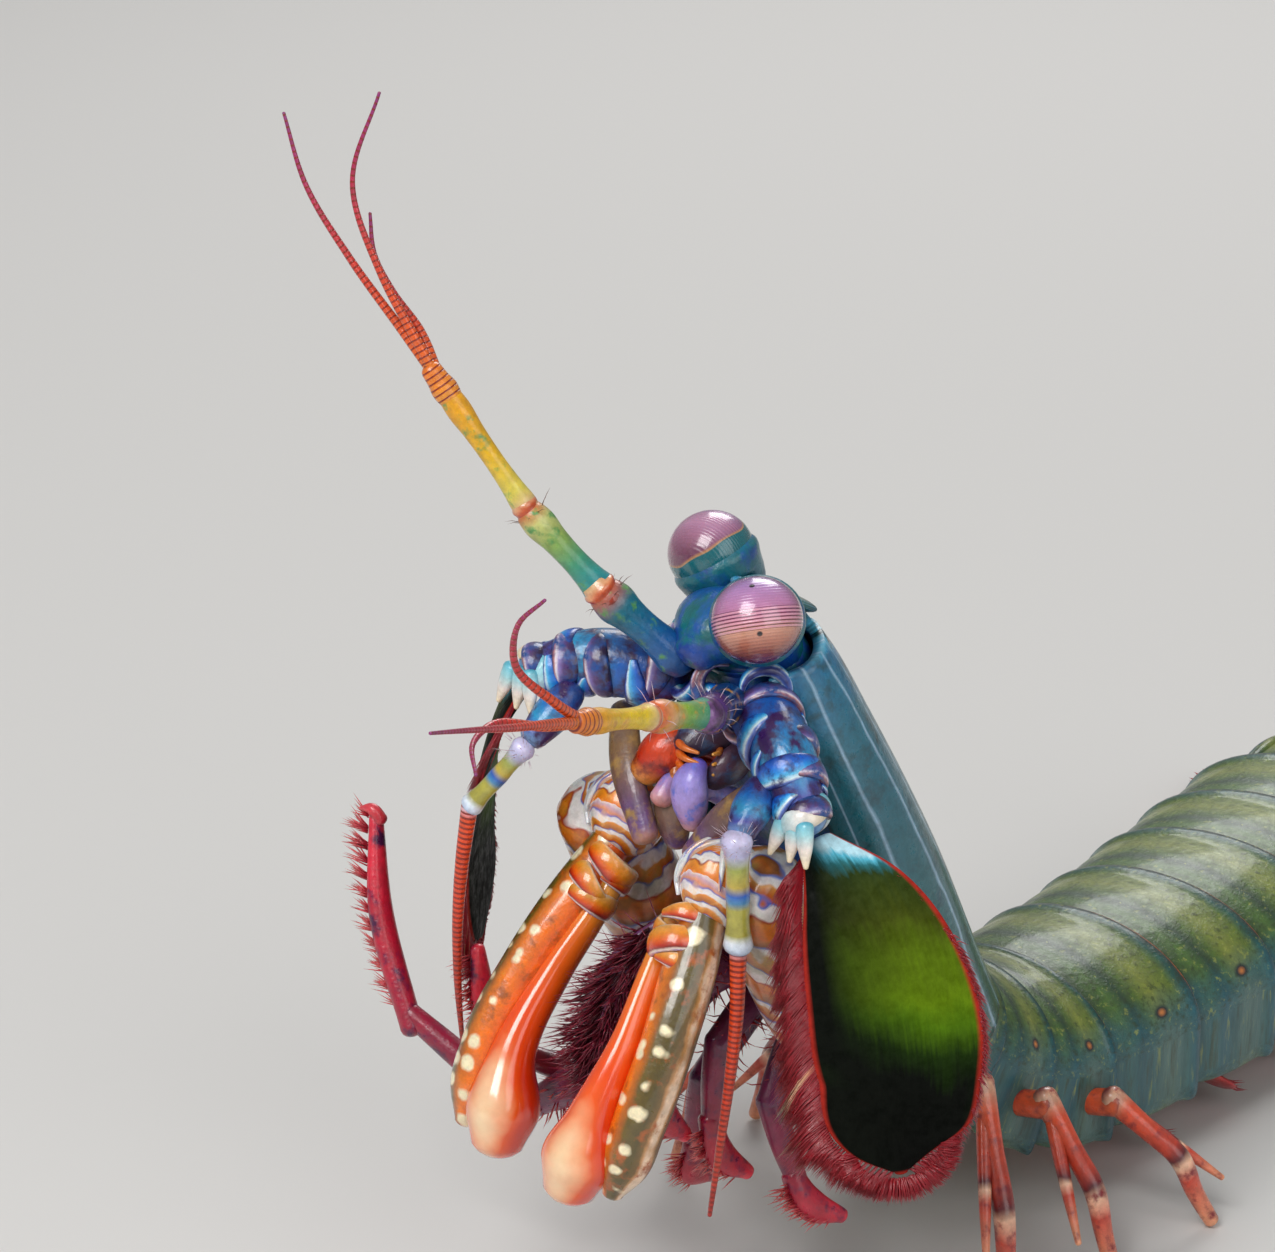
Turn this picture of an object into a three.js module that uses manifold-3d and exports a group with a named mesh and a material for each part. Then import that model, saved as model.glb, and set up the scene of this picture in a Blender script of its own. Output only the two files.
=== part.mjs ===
// A peacock mantis shrimp at life size, standing with its front body reared and its claws hanging.
// Millimetres, +Z up. The animal faces -Y, its left side is +X, and it stands on the floor z = 0.
import * as THREE from "three";
import { mergeVertices } from "three/addons/utils/BufferGeometryUtils.js";
import Module from "manifold-3d";

const wasm = await Module();
wasm.setup();

// Driving dimensions of the trunk.
const ABDOMEN_LINE = 11.5; // height of the abdomen's middle line
const BEND_RADIUS = 20; // of the thorax, where the body turns up
const LEAN = THREE.MathUtils.degToRad(66); // of the shield above the floor
const BEND_LENGTH = BEND_RADIUS * LEAN;
const SHIELD_ROOT_Y = -19; // where the thorax turns into the straight front body
const SWING = THREE.MathUtils.degToRad(14); // of the tail towards the animal's right
const SWING_END = -46; // along the body line, where the abdomen runs straight again
const ABDOMEN_PITCH = 10.4; // length of one abdominal segment
const ABDOMEN_HALF = [10.6, 11.2, 11.8, 12.2, 12.3, 11.2]; // half widths, front to back
const THORAX_ENDS = [0, 7.2, 14, 19.6]; // along the body line, from the abdomen forward
const THORAX_HALF = [10.2, 9.6, 9.0];
const BODY_HEIGHT = 6.8; // half height of the trunk
const SHIELD_REAR = 18; // along the body line
const SHIELD_FRONT = BEND_LENGTH + 33;
const SHIELD_WALL = 1.2;
const SHIELD_EDGE = 4.6; // how far its wings reach below the body line

const GAP = 0.3; // between touching parts
const SEAM = 0.34; // between the ends of neighbouring body rings, a little over the gap
const FLOOR_DEPTH = 20;
const FLOOR_SIZE = 400;
const MIDDLE = [-8.3, 4.2]; // the point of the floor under the middle of the whole figure

// Colours.
const OLIVE = { color: 0x4f6b2c, roughness: 0.4 };
const TEAL = { color: 0x0f6f7c, roughness: 0.35 };
const BLUE = { color: 0x1a5fb4, roughness: 0.35 };
const ROSE = { color: 0xa8648c, roughness: 0.25 };
const AMBER = { color: 0xd9a514, roughness: 0.35 };
const ORANGE = { color: 0xf0641c, roughness: 0.3 };
const SCARLET = { color: 0xd22a12, roughness: 0.45 };
const CREAM = { color: 0xf2d8b8, roughness: 0.35 };
const MAROON = { color: 0x7c1836, roughness: 0.45 };
const MOSS = { color: 0x3c5a10, roughness: 0.4 };

const vector = ([x, y, z]) => new THREE.Vector3(x, y, z);
const plus = (a, b, scale = 1) => a.map((value, i) => value + scale * b[i]);
const between = (a, b, t) => a.map((value, i) => value + (b[i] - value) * t);

// A solid from a closed mesh, once the corners that its faces share are merged.
function solidFrom(geometry) {
  const bare = new THREE.BufferGeometry();
  bare.setAttribute("position", geometry.getAttribute("position"));
  bare.setIndex(geometry.getIndex());
  const merged = mergeVertices(bare, 1e-4);
  const mesh = new wasm.Mesh({
    numProp: 3,
    vertProperties: new Float32Array(merged.getAttribute("position").array),
    triVerts: new Uint32Array(merged.getIndex().array),
  });
  return new wasm.Manifold(mesh);
}

// The mesh of a solid, for drawing.
function geometryOf(solid) {
  const mesh = solid.getMesh();
  const geometry = new THREE.BufferGeometry();
  const corners = new Float32Array(mesh.vertProperties);
  geometry.setAttribute("position", new THREE.BufferAttribute(corners, 3));
  geometry.setIndex(new THREE.BufferAttribute(new Uint32Array(mesh.triVerts), 1));
  geometry.computeVertexNormals();
  return geometry;
}

const fuse = (solids) => wasm.Manifold.union(solids);
const roundSection = (across, up) => [across, up];
const settled = (value) => Math.round(value * 1e6) / 1e6; // so that the seam of a ring closes

// The section of a body ring: arched on top, drawn down at the sides and hollow underneath.
function archSection(across, up) {
  if (up >= 0) return [across, up];
  const wide = Math.sign(across) * Math.abs(across) ** 0.4;
  const drop = (0.5 + 0.6 * Math.abs(wide) ** 3) * Math.abs(up) ** 0.2;
  return [wide, -drop];
}

// A closed tube through stations of [x, y, z, half width, half height], with flat ends.
// `side` is the way its width runs, and `grow` makes it that much fatter and longer all round.
function tube(stations, options = {}) {
  const { side = [1, 0, 0], sides = 8, steps = 2, section = roundSection, grow = 0 } = options;
  const path = new THREE.CatmullRomCurve3(stations.map(vector), false, "centripetal");
  const sizes = new THREE.SplineCurve(stations.map((s) => new THREE.Vector2(s[3], s[4])));
  const rings = steps * (stations.length - 1);
  const geometry = new THREE.CylinderGeometry(1, 1, 1, sides, rings);
  const position = geometry.getAttribute("position");
  for (let i = 0; i < position.count; i += 1) {
    const t = Math.round((position.getY(i) + 0.5) * rings) / rings;
    const forward = path.getTangent(t);
    const across = vector(side).addScaledVector(forward, -vector(side).dot(forward)).normalize();
    const up = forward.clone().cross(across);
    const size = sizes.getPoint(t);
    const [u, v] = section(settled(position.getX(i)), settled(-position.getZ(i)));
    const place = path.getPoint(t);
    place.addScaledVector(across, u * (size.x + grow));
    place.addScaledVector(up, v * (size.y + grow));
    if (t === 0) place.addScaledVector(forward, -grow);
    if (t === 1) place.addScaledVector(forward, grow);
    position.setXYZ(i, place.x, place.y, place.z);
  }
  return solidFrom(geometry);
}

// A spine or a flat lock: a cone of few sides, flattened across `side`, that tapers to its tip.
function spike(root, tip, halfWidth, halfDepth, options = {}) {
  const { side = [1, 0, 0], sides = 4, grow = 0 } = options;
  const forward = vector(tip).sub(vector(root));
  const length = forward.length() + 2 * grow;
  forward.normalize();
  const across = vector(side).addScaledVector(forward, -vector(side).dot(forward)).normalize();
  const up = across.clone().cross(forward);
  const geometry = new THREE.ConeGeometry(1, 1, sides);
  geometry.translate(0, 0.5, 0);
  geometry.scale(halfWidth + grow, length, halfDepth + grow);
  geometry.applyMatrix4(new THREE.Matrix4().makeBasis(across, forward, up));
  geometry.translate(...plus(root, forward.toArray(), -grow));
  return solidFrom(geometry);
}

// An egg-shaped bead at a point, its three half sizes along X, Y and Z.
function bead(centre, halves, grow = 0, facets = [8, 6]) {
  const geometry = new THREE.SphereGeometry(1, ...facets);
  geometry.scale(...halves.map((half) => half + grow));
  geometry.translate(...centre);
  return solidFrom(geometry);
}

const model = new THREE.Group();
model.position.set(-MIDDLE[0], -MIDDLE[1], 0);
const placed = [];

const floorBlock = new THREE.BoxGeometry(FLOOR_SIZE, FLOOR_SIZE, FLOOR_DEPTH);
floorBlock.translate(0, 0, -FLOOR_DEPTH / 2);
const underFloor = solidFrom(floorBlock);

function apart(a, b) {
  return [0, 1, 2].some((i) => a.min[i] > b.max[i] || b.min[i] > a.max[i]);
}

// Adds one named part. It is cut clear of every part before it by the gap, trimmed flat at the
// floor, and keeps its largest closed surface.
function addPart(name, finish, build) {
  let solid = build(0);
  for (const other of placed) {
    if (!apart(solid.boundingBox(), other.box)) solid = solid.subtract(other.grown);
  }
  if (solid.boundingBox().min[2] < 0) solid = solid.subtract(underFloor);
  const pieces = solid.decompose().sort((a, b) => b.volume() - a.volume());
  const mesh = new THREE.Mesh(geometryOf(pieces[0]), new THREE.MeshStandardMaterial(finish));
  mesh.name = name;
  model.add(mesh);
  const grown = build(GAP);
  placed.push({ grown, box: grown.boundingBox() });
}

// The way the body heads at the distance s along its line, from the abdomen forward.
function heading(s) {
  const lean = LEAN * THREE.MathUtils.clamp(s / BEND_LENGTH, 0, 1);
  const swing = SWING * THREE.MathUtils.smoothstep(BEND_LENGTH - s, 0, BEND_LENGTH - SWING_END);
  const [level, rise] = [Math.cos(lean), Math.sin(lean)];
  const forward = [level * Math.sin(swing), -level * Math.cos(swing), rise];
  const left = [Math.cos(swing), Math.sin(swing), 0];
  return { forward, left, dorsal: vector(forward).cross(vector(left)).toArray() };
}

// The point of the body line at the distance s, walked from the root of the straight front body.
function bodyLine(s) {
  let at = [0, SHIELD_ROOT_Y, ABDOMEN_LINE + BEND_RADIUS * (1 - Math.cos(LEAN))];
  const strides = Math.max(1, Math.ceil(Math.abs(s - BEND_LENGTH)));
  const stride = (s - BEND_LENGTH) / strides;
  for (let i = 0; i < strides; i += 1) {
    at = plus(at, heading(BEND_LENGTH + (i + 0.5) * stride).forward, stride);
  }
  return at;
}

// A point beside the body line: so far to the left and so far up its dorsal direction.
function beside(s, left, up) {
  const way = heading(s);
  return plus(plus(bodyLine(s), way.left, left), way.dorsal, up);
}

// Level places and ways beside the body line at s: [out to the left, backwards, up].
// A place's height is measured from the floor.
function levelFrame(s) {
  const { left } = heading(s);
  const back = [-left[1], left[0], 0];
  const at = bodyLine(s);
  const way = ([out, behind, up]) => plus(plus([0, 0, up], left, out), back, behind);
  const point = (place) => plus([at[0], at[1], 0], way(place));
  return { left, back, way, point };
}

// A length of the trunk between two places on the body line, from profiles of
// [share of the length from the back, half width, half height].
function trunk(from, to, profiles, options) {
  const stations = profiles.map(([share, half, height]) => {
    return [...bodyLine(from + (to - from) * share), half, height];
  });
  return tube(stations, { side: heading((from + to) / 2).left, ...options });
}

// One ring of the body: its back edge stands a little proud of the ring behind it.
function bodyRing(from, to, half, height, grow) {
  const profiles = [
    [0, half * 1.02, height * 1.02],
    [0.2, half * 1.03, height * 1.03],
    [0.7, half, height],
    [1, half * 0.94, height * 0.94],
  ];
  const ends = [from + SEAM / 2, to - SEAM / 2];
  return trunk(...ends, profiles, { sides: 18, steps: 1, section: archSection, grow });
}

// Abdomen, six rings. The sixth has three pairs of raised keels that end in small spines.
const KEELS = [2.2, 5.4, 8.4];
ABDOMEN_HALF.forEach((half, i) => {
  const back = -ABDOMEN_PITCH * (i + 1);
  const last = i === ABDOMEN_HALF.length - 1;
  const height = last ? BODY_HEIGHT * 0.86 : BODY_HEIGHT;
  addPart(`abdomen_${i + 1}`, OLIVE, (grow) => {
    const pieces = [bodyRing(back, back + ABDOMEN_PITCH, half, height, grow)];
    if (last) {
      for (const x of KEELS.flatMap((keel) => [-keel, keel])) {
        const top = height * Math.sqrt(1 - (x / half) ** 2) - 0.3;
        const root = beside(back + ABDOMEN_PITCH * 0.8, x, top);
        const tip = beside(back - 0.8, x * 1.02, top + 0.5);
        pieces.push(spike(root, tip, 0.7, 0.9, { grow }));
      }
    }
    return fuse(pieces);
  });
});

// Thorax: three open rings, then the body under the shield.
THORAX_HALF.forEach((half, i) => {
  const [back, front] = [THORAX_ENDS[i], THORAX_ENDS[i + 1]];
  addPart(`thorax_${8 - i}`, OLIVE, (grow) => bodyRing(back, front, half, BODY_HEIGHT * 0.97, grow));
});

const CORE_PROFILES = [
  [0, 8.0, 5.4],
  [0.3, 8.2, 5.2],
  [0.7, 7.0, 4.4],
  [1, 5.4, 3.4],
];
addPart("thorax_front", TEAL, (grow) => {
  const ends = [THORAX_ENDS[3] + SEAM / 2, SHIELD_FRONT - 1];
  return trunk(...ends, CORE_PROFILES, { sides: 14, steps: 1, grow });
});

// Shield: a thin arched shell, open underneath, with wings that stand off the body.
const SHIELD_PROFILES = [
  [0, 10.4, 7.0],
  [0.12, 11.0, 7.0],
  [0.45, 10.8, 6.4],
  [0.8, 8.8, 5.4],
  [0.95, 7.6, 4.8],
  [1, 7.0, 4.4],
];
const SHIELD_SIDES = 18;
addPart("carapace", TEAL, (grow) => {
  const options = { sides: SHIELD_SIDES, steps: 1 };
  const inner = SHIELD_PROFILES.map(([t, half, height]) => {
    return [t, half - SHIELD_WALL - grow, height - SHIELD_WALL - grow];
  });
  const shell = trunk(SHIELD_REAR - grow, SHIELD_FRONT + grow, SHIELD_PROFILES, { ...options, grow });
  const hollow = trunk(SHIELD_REAR - 2, SHIELD_FRONT + 2, inner, options);
  const cut = SHIELD_EDGE + grow;
  const under = trunk(SHIELD_REAR - 4, SHIELD_FRONT + 4, [[0, 20, 10], [0.5, 20, 10], [1, 20, 10]], {
    sides: 4,
    steps: 3,
    section: (across, up) => [across + up, (up - across) - 1 - cut / 10],
  });
  return shell.subtract(hollow).subtract(under);
});

// Rostral plate, hinged on the front edge of the shield, between the eyestalks.
const ROSTRUM_ROOT = beside(SHIELD_FRONT + 0.4, 0, 4.3);
const ROSTRUM_TIP = plus(ROSTRUM_ROOT, [0, -4.6, 2.4]);
addPart("rostrum", TEAL, (grow) => {
  const stations = [
    [...ROSTRUM_ROOT, 3.6, 0.6],
    [...between(ROSTRUM_ROOT, ROSTRUM_TIP, 0.5), 3.0, 0.65],
    [...ROSTRUM_TIP, 0.7, 0.4],
  ];
  return tube(stations, { sides: 8, steps: 1, grow });
});

// Head: the block that carries the eyes and both pairs of feelers.
addPart("head", BLUE, (grow) => {
  const stations = [
    [...beside(SHIELD_FRONT - 0.6, 0, 0), 5.2, 3.3],
    [0, -34.2, 54.6, 4.8, 3.0],
    [0, -36.2, 54.4, 3.4, 2.4],
    [0, -37.4, 53.6, 1.8, 1.5],
  ];
  return tube(stations, { sides: 12, steps: 1, grow });
});

// Eyes: a stalk that widens into a cup, and the ball of the cornea in the cup.
const EYES = {
  left: { centre: [4.8, -36, 57], root: [1.9, -34.0, 54.4], look: [0.62, -0.66, 0.42] },
  right: { centre: [-4.6, -31.5, 58.7], root: [-2.2, -32.6, 54.4], look: [-0.4, -0.3, 0.86] },
};
const EYE_HALF = 3.15;
for (const [flank, eye] of Object.entries(EYES)) {
  const look = vector(eye.look).normalize();
  const back = plus(eye.centre, look.toArray(), -2.6);
  const rim = plus(eye.centre, look.toArray(), 0.15);
  const ball = (grow) => {
    const geometry = new THREE.SphereGeometry(1, 12, 9);
    geometry.scale(EYE_HALF + 0.1 + grow, EYE_HALF - 0.15 + grow, EYE_HALF - 0.2 + grow);
    const turn = new THREE.Quaternion().setFromUnitVectors(new THREE.Vector3(0, 0, 1), look);
    geometry.applyQuaternion(turn);
    geometry.translate(...eye.centre);
    return solidFrom(geometry);
  };
  addPart(`eye_${flank}`, ROSE, ball);
  addPart(`eyestalk_${flank}`, TEAL, (grow) => {
    const stations = [
      [...eye.root, 1.5, 1.5],
      [...between(eye.root, back, 0.5), 1.9, 1.9],
      [...back, 3.1, 3.0],
      [...rim, 3.42, 3.3],
    ];
    return tube(stations, { sides: 10, steps: 1, grow });
  });
}

// One limb or feeler segment: a tube that swells at its ends, where the joints are.
function joined(points, halves, options) {
  const stations = points.map((at, i) => [...at, ...halves[i]]);
  return tube(stations, options);
}

// Antennules: a stalk of three segments with a swollen joint between them, then three whips.
const ANTENNULES = {
  left: {
    joints: [[3.4, -37.6, 50.6], [7.4, -43.1, 52.4], [9.0, -50.0, 54.5], [11.6, -58.3, 57.1]],
    whips: [
      [[13.6, -63.6, 58.9], [15.8, -69.1, 60.7], [18.0, -74.4, 62.6], [20.2, -79.5, 64.4]],
      [[12.6, -62.4, 59.8], [12.1, -65.4, 63.1], [13.0, -65.9, 66.2], [15.2, -65.5, 68.4]],
      [[12.4, -63.0, 58.2], [12.4, -67.6, 59.6], [13.8, -70.6, 59.4], [16.4, -72.6, 58.6]],
    ],
  },
  right: {
    joints: [[-2.0, -37.0, 52.4], [-5.0, -41.5, 57.6], [-9.1, -45.1, 63.6], [-14.2, -48.3, 72]],
    whips: [
      [[-17.8, -49.6, 76.4], [-22.0, -50.9, 81.2], [-25.6, -51.9, 86.2], [-27.4, -52.2, 91.0]],
      [[-16.7, -49.8, 76.8], [-18.7, -50.8, 80.8], [-20.8, -51.4, 87.0], [-19.9, -49.5, 93.3]],
      [[-17.2, -48.4, 76.2], [-19.4, -49.2, 79.0], [-21.0, -49.4, 81.4], [-21.6, -49.2, 84.2]],
    ],
  },
};
const STALK_HALVES = [[1.6, 1.5], [1.25, 1.2], [0.95, 0.95]];
for (const [flank, feeler] of Object.entries(ANTENNULES)) {
  const { joints, whips } = feeler;
  addPart(`antennule_${flank}`, AMBER, (grow) => {
    const pieces = [0, 1, 2].map((i) => {
      const [a, b] = [joints[i], joints[i + 1]];
      const [w, h] = STALK_HALVES[i];
      const halves = [[w, h], [w * 0.86, h * 0.86], [w * 0.8, h * 0.8], [w * 1.02, h * 1.02]];
      const points = [a, between(a, b, 0.15), between(a, b, 0.75), b];
      return joined(points, halves, { side: [0, 1, 1], sides: 6, steps: 1, grow });
    });
    const knuckles = [1, 2].map((i) => {
      const half = STALK_HALVES[i][0] * 1.12;
      return bead(joints[i], [half, half, half], grow, [6, 4]);
    });
    return fuse([...pieces, ...knuckles]);
  });
  addPart(`antennule_${flank}_whips`, SCARLET, (grow) => {
    const end = joints[3];
    const inward = between(joints[2], end, 0.9);
    const collarLine = [between(inward, end, 1.4), between(inward, end, 3.2)];
    const collar = joined(collarLine, [[0.95, 0.9], [0.8, 0.7]], {
      side: [0, 1, 1],
      sides: 7,
      steps: 1,
      grow,
    });
    const strands = whips.map((points) => {
      const path = [between(inward, end, 2), ...points];
      const halves = path.map((_, i) => [0.42 - 0.04 * i, 0.42 - 0.04 * i]);
      return joined(path, halves, { side: [0, 1, 1], sides: 5, steps: 1, grow });
    });
    return fuse([collar, ...strands]);
  });
}

// Antennae: a heavy base, a stalk and one whip, and the big oval scale with its fringe of bristles.
const ANTENNAE = {
  left: {
    base: [[5.0, -35.4, 49.6], [9.6, -37.6, 47.8], [12.6, -38.6, 44.6]],
    stalk: [[9.0, -39.6, 46.2], [10.0, -42.4, 44.2], [10.0, -42.8, 39.8], [10.0, -42.7, 35.4]],
    whip: [[10.2, -43.0, 30.0], [9.9, -43.4, 24.5], [9.5, -44.0, 19.0], [9.0, -44.4, 14.0]],
    scale: [
      [13.3, -38.1, 42.9], [16.8, -37.8, 39.3], [19.7, -37.5, 33.8],
      [21.2, -37.5, 27.5], [21.2, -37.6, 21.6],
    ],
    face: [0.687, -0.641, 0.342],
  },
  right: {
    base: [[-5.0, -35.6, 50.4], [-9.6, -39.4, 50.8], [-12.6, -42.0, 50.0]],
    stalk: [[-9.0, -41.6, 49.0], [-9.4, -44.8, 46.4], [-11.2, -46.4, 43.4], [-13.0, -47.8, 40.7]],
    whip: [[-13.8, -48.2, 35.6], [-14.4, -48.2, 30.4], [-14.9, -47.8, 25.2], [-15.2, -47.2, 20.4]],
    scale: [
      [-13.4, -42.3, 48.6], [-16.6, -41.8, 44.8], [-19.2, -41.2, 39.0],
      [-20.8, -40.4, 32.6], [-21.2, -40.0, 26.6],
    ],
    face: [-0.687, -0.641, 0.342],
  },
};
const SCALE_HALVES = [[1.3, 0.6], [4.2, 0.55], [5.9, 0.5], [5.9, 0.5], [3.2, 0.45]];
const FRINGE_LOCKS = 18;
const FRINGE_INNER = 4.6; // length of the bristles on the inner margin
const FRINGE_OUTER = 1.4;
const FRINGE_TIP = 2.3;

// The flat locks of bristles round an oval plate. `reach` gives their length by the turn round
// the margin, which is 0 at the outer edge, a quarter turn at the tip and a half turn inside.
function fringe(plate, locks, reach) {
  const { across, along, centre, halfWide, halfLong, grow = 0 } = plate;
  return Array.from({ length: locks }, (_, i) => {
    const turn = ((i + 0.5) / locks) * Math.PI * 1.5 - Math.PI * 0.22;
    const [cos, sin] = [Math.cos(turn), Math.sin(turn)];
    const outward = plus(across.map((v) => v * cos), along, sin);
    const margin = plus(across.map((v) => v * -sin), along, cos);
    const edge = plus(plus(centre, across, cos * halfWide), along, sin * halfLong);
    const trailing = vector(plus(outward, along, 0.5)).normalize().toArray();
    const tip = plus(edge, trailing, reach(turn));
    return spike(plus(edge, outward, -1.6), tip, 0.95, 0.32, { side: margin, sides: 3, grow });
  });
}

for (const [flank, antenna] of Object.entries(ANTENNAE)) {
  const { base, stalk, whip, scale, face } = antenna;
  addPart(`antenna_${flank}_base`, BLUE, (grow) => {
    const options = { side: [0, 0, 1], sides: 9, steps: 1, grow };
    const block = joined(base, [[2.5, 2.5], [2.4, 2.2], [1.5, 1.5]], options);
    const knob = joined(stalk.slice(0, 2), [[1.5, 1.5], [1.25, 1.25]], { sides: 7, steps: 1, grow });
    return fuse([block, knob]);
  });
  addPart(`antenna_${flank}_stalk`, CREAM, (grow) => {
    const halves = [[1.15, 1.1], [0.85, 0.8], [1.1, 1.0]];
    return joined([between(stalk[0], stalk[1], 1.3), ...stalk.slice(2)], halves, { sides: 7, grow });
  });
  addPart(`antenna_${flank}_whip`, SCARLET, (grow) => {
    const points = [between(stalk[2], stalk[3], 1.08), ...whip];
    const halves = points.map((_, i) => [0.66 - 0.09 * i, 0.6 - 0.08 * i]);
    return joined(points, halves, { sides: 6, steps: 1, grow });
  });
  const along = vector(scale[4]).sub(vector(scale[1])).normalize();
  const across = vector(face).cross(along).normalize();
  if (across.x * scale[0][0] < 0) across.negate();
  const plateSide = across.toArray();
  addPart(`antenna_${flank}_scale`, MOSS, (grow) => {
    const blade = joined(scale, SCALE_HALVES, { side: plateSide, sides: 8, steps: 2, grow });
    const plate = {
      across: plateSide,
      along: along.toArray(),
      centre: between(scale[2], scale[3], 0.35),
      halfWide: 5.7,
      halfLong: 9.4,
      grow,
    };
    const reach = (turn) => {
      if (turn < Math.PI / 2) {
        return FRINGE_OUTER + (FRINGE_TIP - FRINGE_OUTER) * Math.max(0, Math.sin(turn));
      }
      return FRINGE_TIP + (FRINGE_INNER - FRINGE_TIP) * Math.abs(Math.cos(turn));
    };
    return fuse([blade, ...fringe(plate, FRINGE_LOCKS, reach)]);
  });
}

// Mouth: the upper lip with a mandible each side of it.
addPart("mouth", ORANGE, (grow) => {
  const line = [[0, -33.0, 47.6], [0, -36.0, 47.4], [0, -38.2, 46.6]];
  const lip = joined(line, [[3, 2.4], [2.4, 2.1], [1.2, 1.1]], { steps: 1, grow });
  const jaws = [-1, 1].map((way) => bead([way * 2.3, -36.4, 44.8], [1.5, 2.0, 1.9], grow, [7, 5]));
  return fuse([lip, ...jaws]);
});

// First maxillipeds: slim cleaning limbs that hang from the mouth, with an oval last joint.
for (const [flank, way] of [["left", 1], ["right", -1]]) {
  addPart(`maxilliped_1_${flank}`, ROSE, (grow) => {
    const x = way * 1.7 + 0.2;
    const armLine = [[x, -35.2, 42.0], [x, -38.4, 43.2], [x, -39.2, 42.2]];
    const arm = joined(armLine, [[0.9, 0.9], [0.7, 0.7], [0.9, 0.9]], { sides: 6, steps: 1, grow });
    const padLine = [[x, -38.6, 43.8], [x, -39.2, 41.4], [x, -38.9, 38.4]];
    const pad = joined(padLine, [[0.9, 0.8], [1.35, 1.1], [0.5, 0.5]], { sides: 6, grow });
    return fuse([arm, pad]);
  });
}

// Raptorial claws: merus, carpus, propodus and the club, folded along the propodus.
const CLAWS = {
  left: {
    hip: [4.6, -32.0, 33.0],
    knee: [7.2, -29.6, 21.0],
    shoulder: [8.4, -39.2, 38.4],
    wrist: [6.2, -40.8, 38.4],
    palm: [[6.0, -43.2, 35.2], [7.4, -47.2, 28.0], [7.1, -49.6, 22.6], [6.4, -50.8, 18.8]],
    club: [[3.9, -43.6, 35.2], [4.8, -48.6, 28.0], [4.3, -51.6, 22.8], [3.6, -52.6, 18.8]],
  },
  right: {
    hip: [-4.6, -31.0, 33.4],
    knee: [-10.6, -28.2, 21.6],
    shoulder: [-11.2, -36.8, 37.8],
    wrist: [-7.4, -37.2, 38.8],
    palm: [[-7.9, -40.0, 35.0], [-9.8, -45.2, 28.0], [-10.5, -48.6, 22.6], [-10.4, -50.4, 18.6]],
    club: [[-6.0, -39.6, 34.6], [-7.4, -44.6, 28.0], [-7.9, -48.6, 22.2], [-7.5, -50.1, 17.6]],
  },
};
for (const [flank, claw] of Object.entries(CLAWS)) {
  const { hip, knee, shoulder, wrist, palm, club } = claw;
  addPart(`claw_${flank}_wrist`, CREAM, (grow) => bead(wrist, [2.9, 3.0, 3.4], grow, [10, 7]));
  addPart(`claw_${flank}_palm`, AMBER, (grow) => {
    const halves = [[1.7, 1.8], [1.5, 2.0], [1.4, 1.9], [1.0, 1.2]];
    const start = between(wrist, palm[0], 0.5);
    return joined([start, ...palm.slice(1)], halves, { sides: 10, grow });
  });
  addPart(`claw_${flank}_club`, ORANGE, (grow) => {
    const halves = [[0.5, 0.6], [1.2, 1.3], [2.0, 2.0], [2.3, 2.3]];
    const blade = joined(club, halves, { sides: 10, steps: 2, grow });
    const heel = bead(club[3], [2.7, 2.9, 3.6], grow, [10, 7]);
    return fuse([blade, heel]);
  });
  addPart(`claw_${flank}_merus`, CREAM, (grow) => {
    const points = [knee, between(knee, shoulder, 0.3), between(knee, shoulder, 0.7), shoulder];
    const thigh = joined(points, [[2.0, 2.2], [3.0, 3.6], [3.4, 3.8], [3.2, 3.4]], { sides: 10, grow });
    const shankHalves = [[1.9, 1.7], [1.7, 1.5], [1.9, 1.9]];
    const shank = joined([hip, between(hip, knee, 0.5), knee], shankHalves, { sides: 7, steps: 1, grow });
    return fuse([thigh, shank]);
  });
}

// Third to fifth maxillipeds: an arm of two lengths and a flat oval hand with bristles on its edge.
const MAXILLIPEDS = {
  maxilliped_3_left: [[1.9, -31.4, 31.4], [1.4, -40.0, 27.6], [0.8, -41.4, 21.0], [0.8, -39.0, 15.6]],
  maxilliped_4_left: [[1.9, -29.6, 28.0], [1.6, -36.6, 22.6], [1.6, -37.0, 16.2], [2.2, -33.8, 11.2]],
  maxilliped_5_left: [[2.0, -27.2, 24.0], [3.0, -32.4, 16.8], [5.2, -31.6, 11.0], [7.0, -28.4, 7.4]],
  maxilliped_3_right: [[-1.9, -31.4, 31.4], [-11.6, -44.4, 15.0], [-20.6, -47.9, 21.2], [-26.9, -45.6, 34.8]],
  maxilliped_4_right: [[-1.9, -29.6, 28.0], [-7.8, -39.0, 16.6], [-13.4, -43.4, 19.0], [-15.6, -45.2, 27.4]],
  maxilliped_5_right: [[-2.0, -27.2, 24.0], [-3.6, -33.2, 16.6], [-4.2, -33.2, 10.6], [-5.8, -30.0, 6.6]],
};
const HAND_SPIKES = 5;
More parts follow.
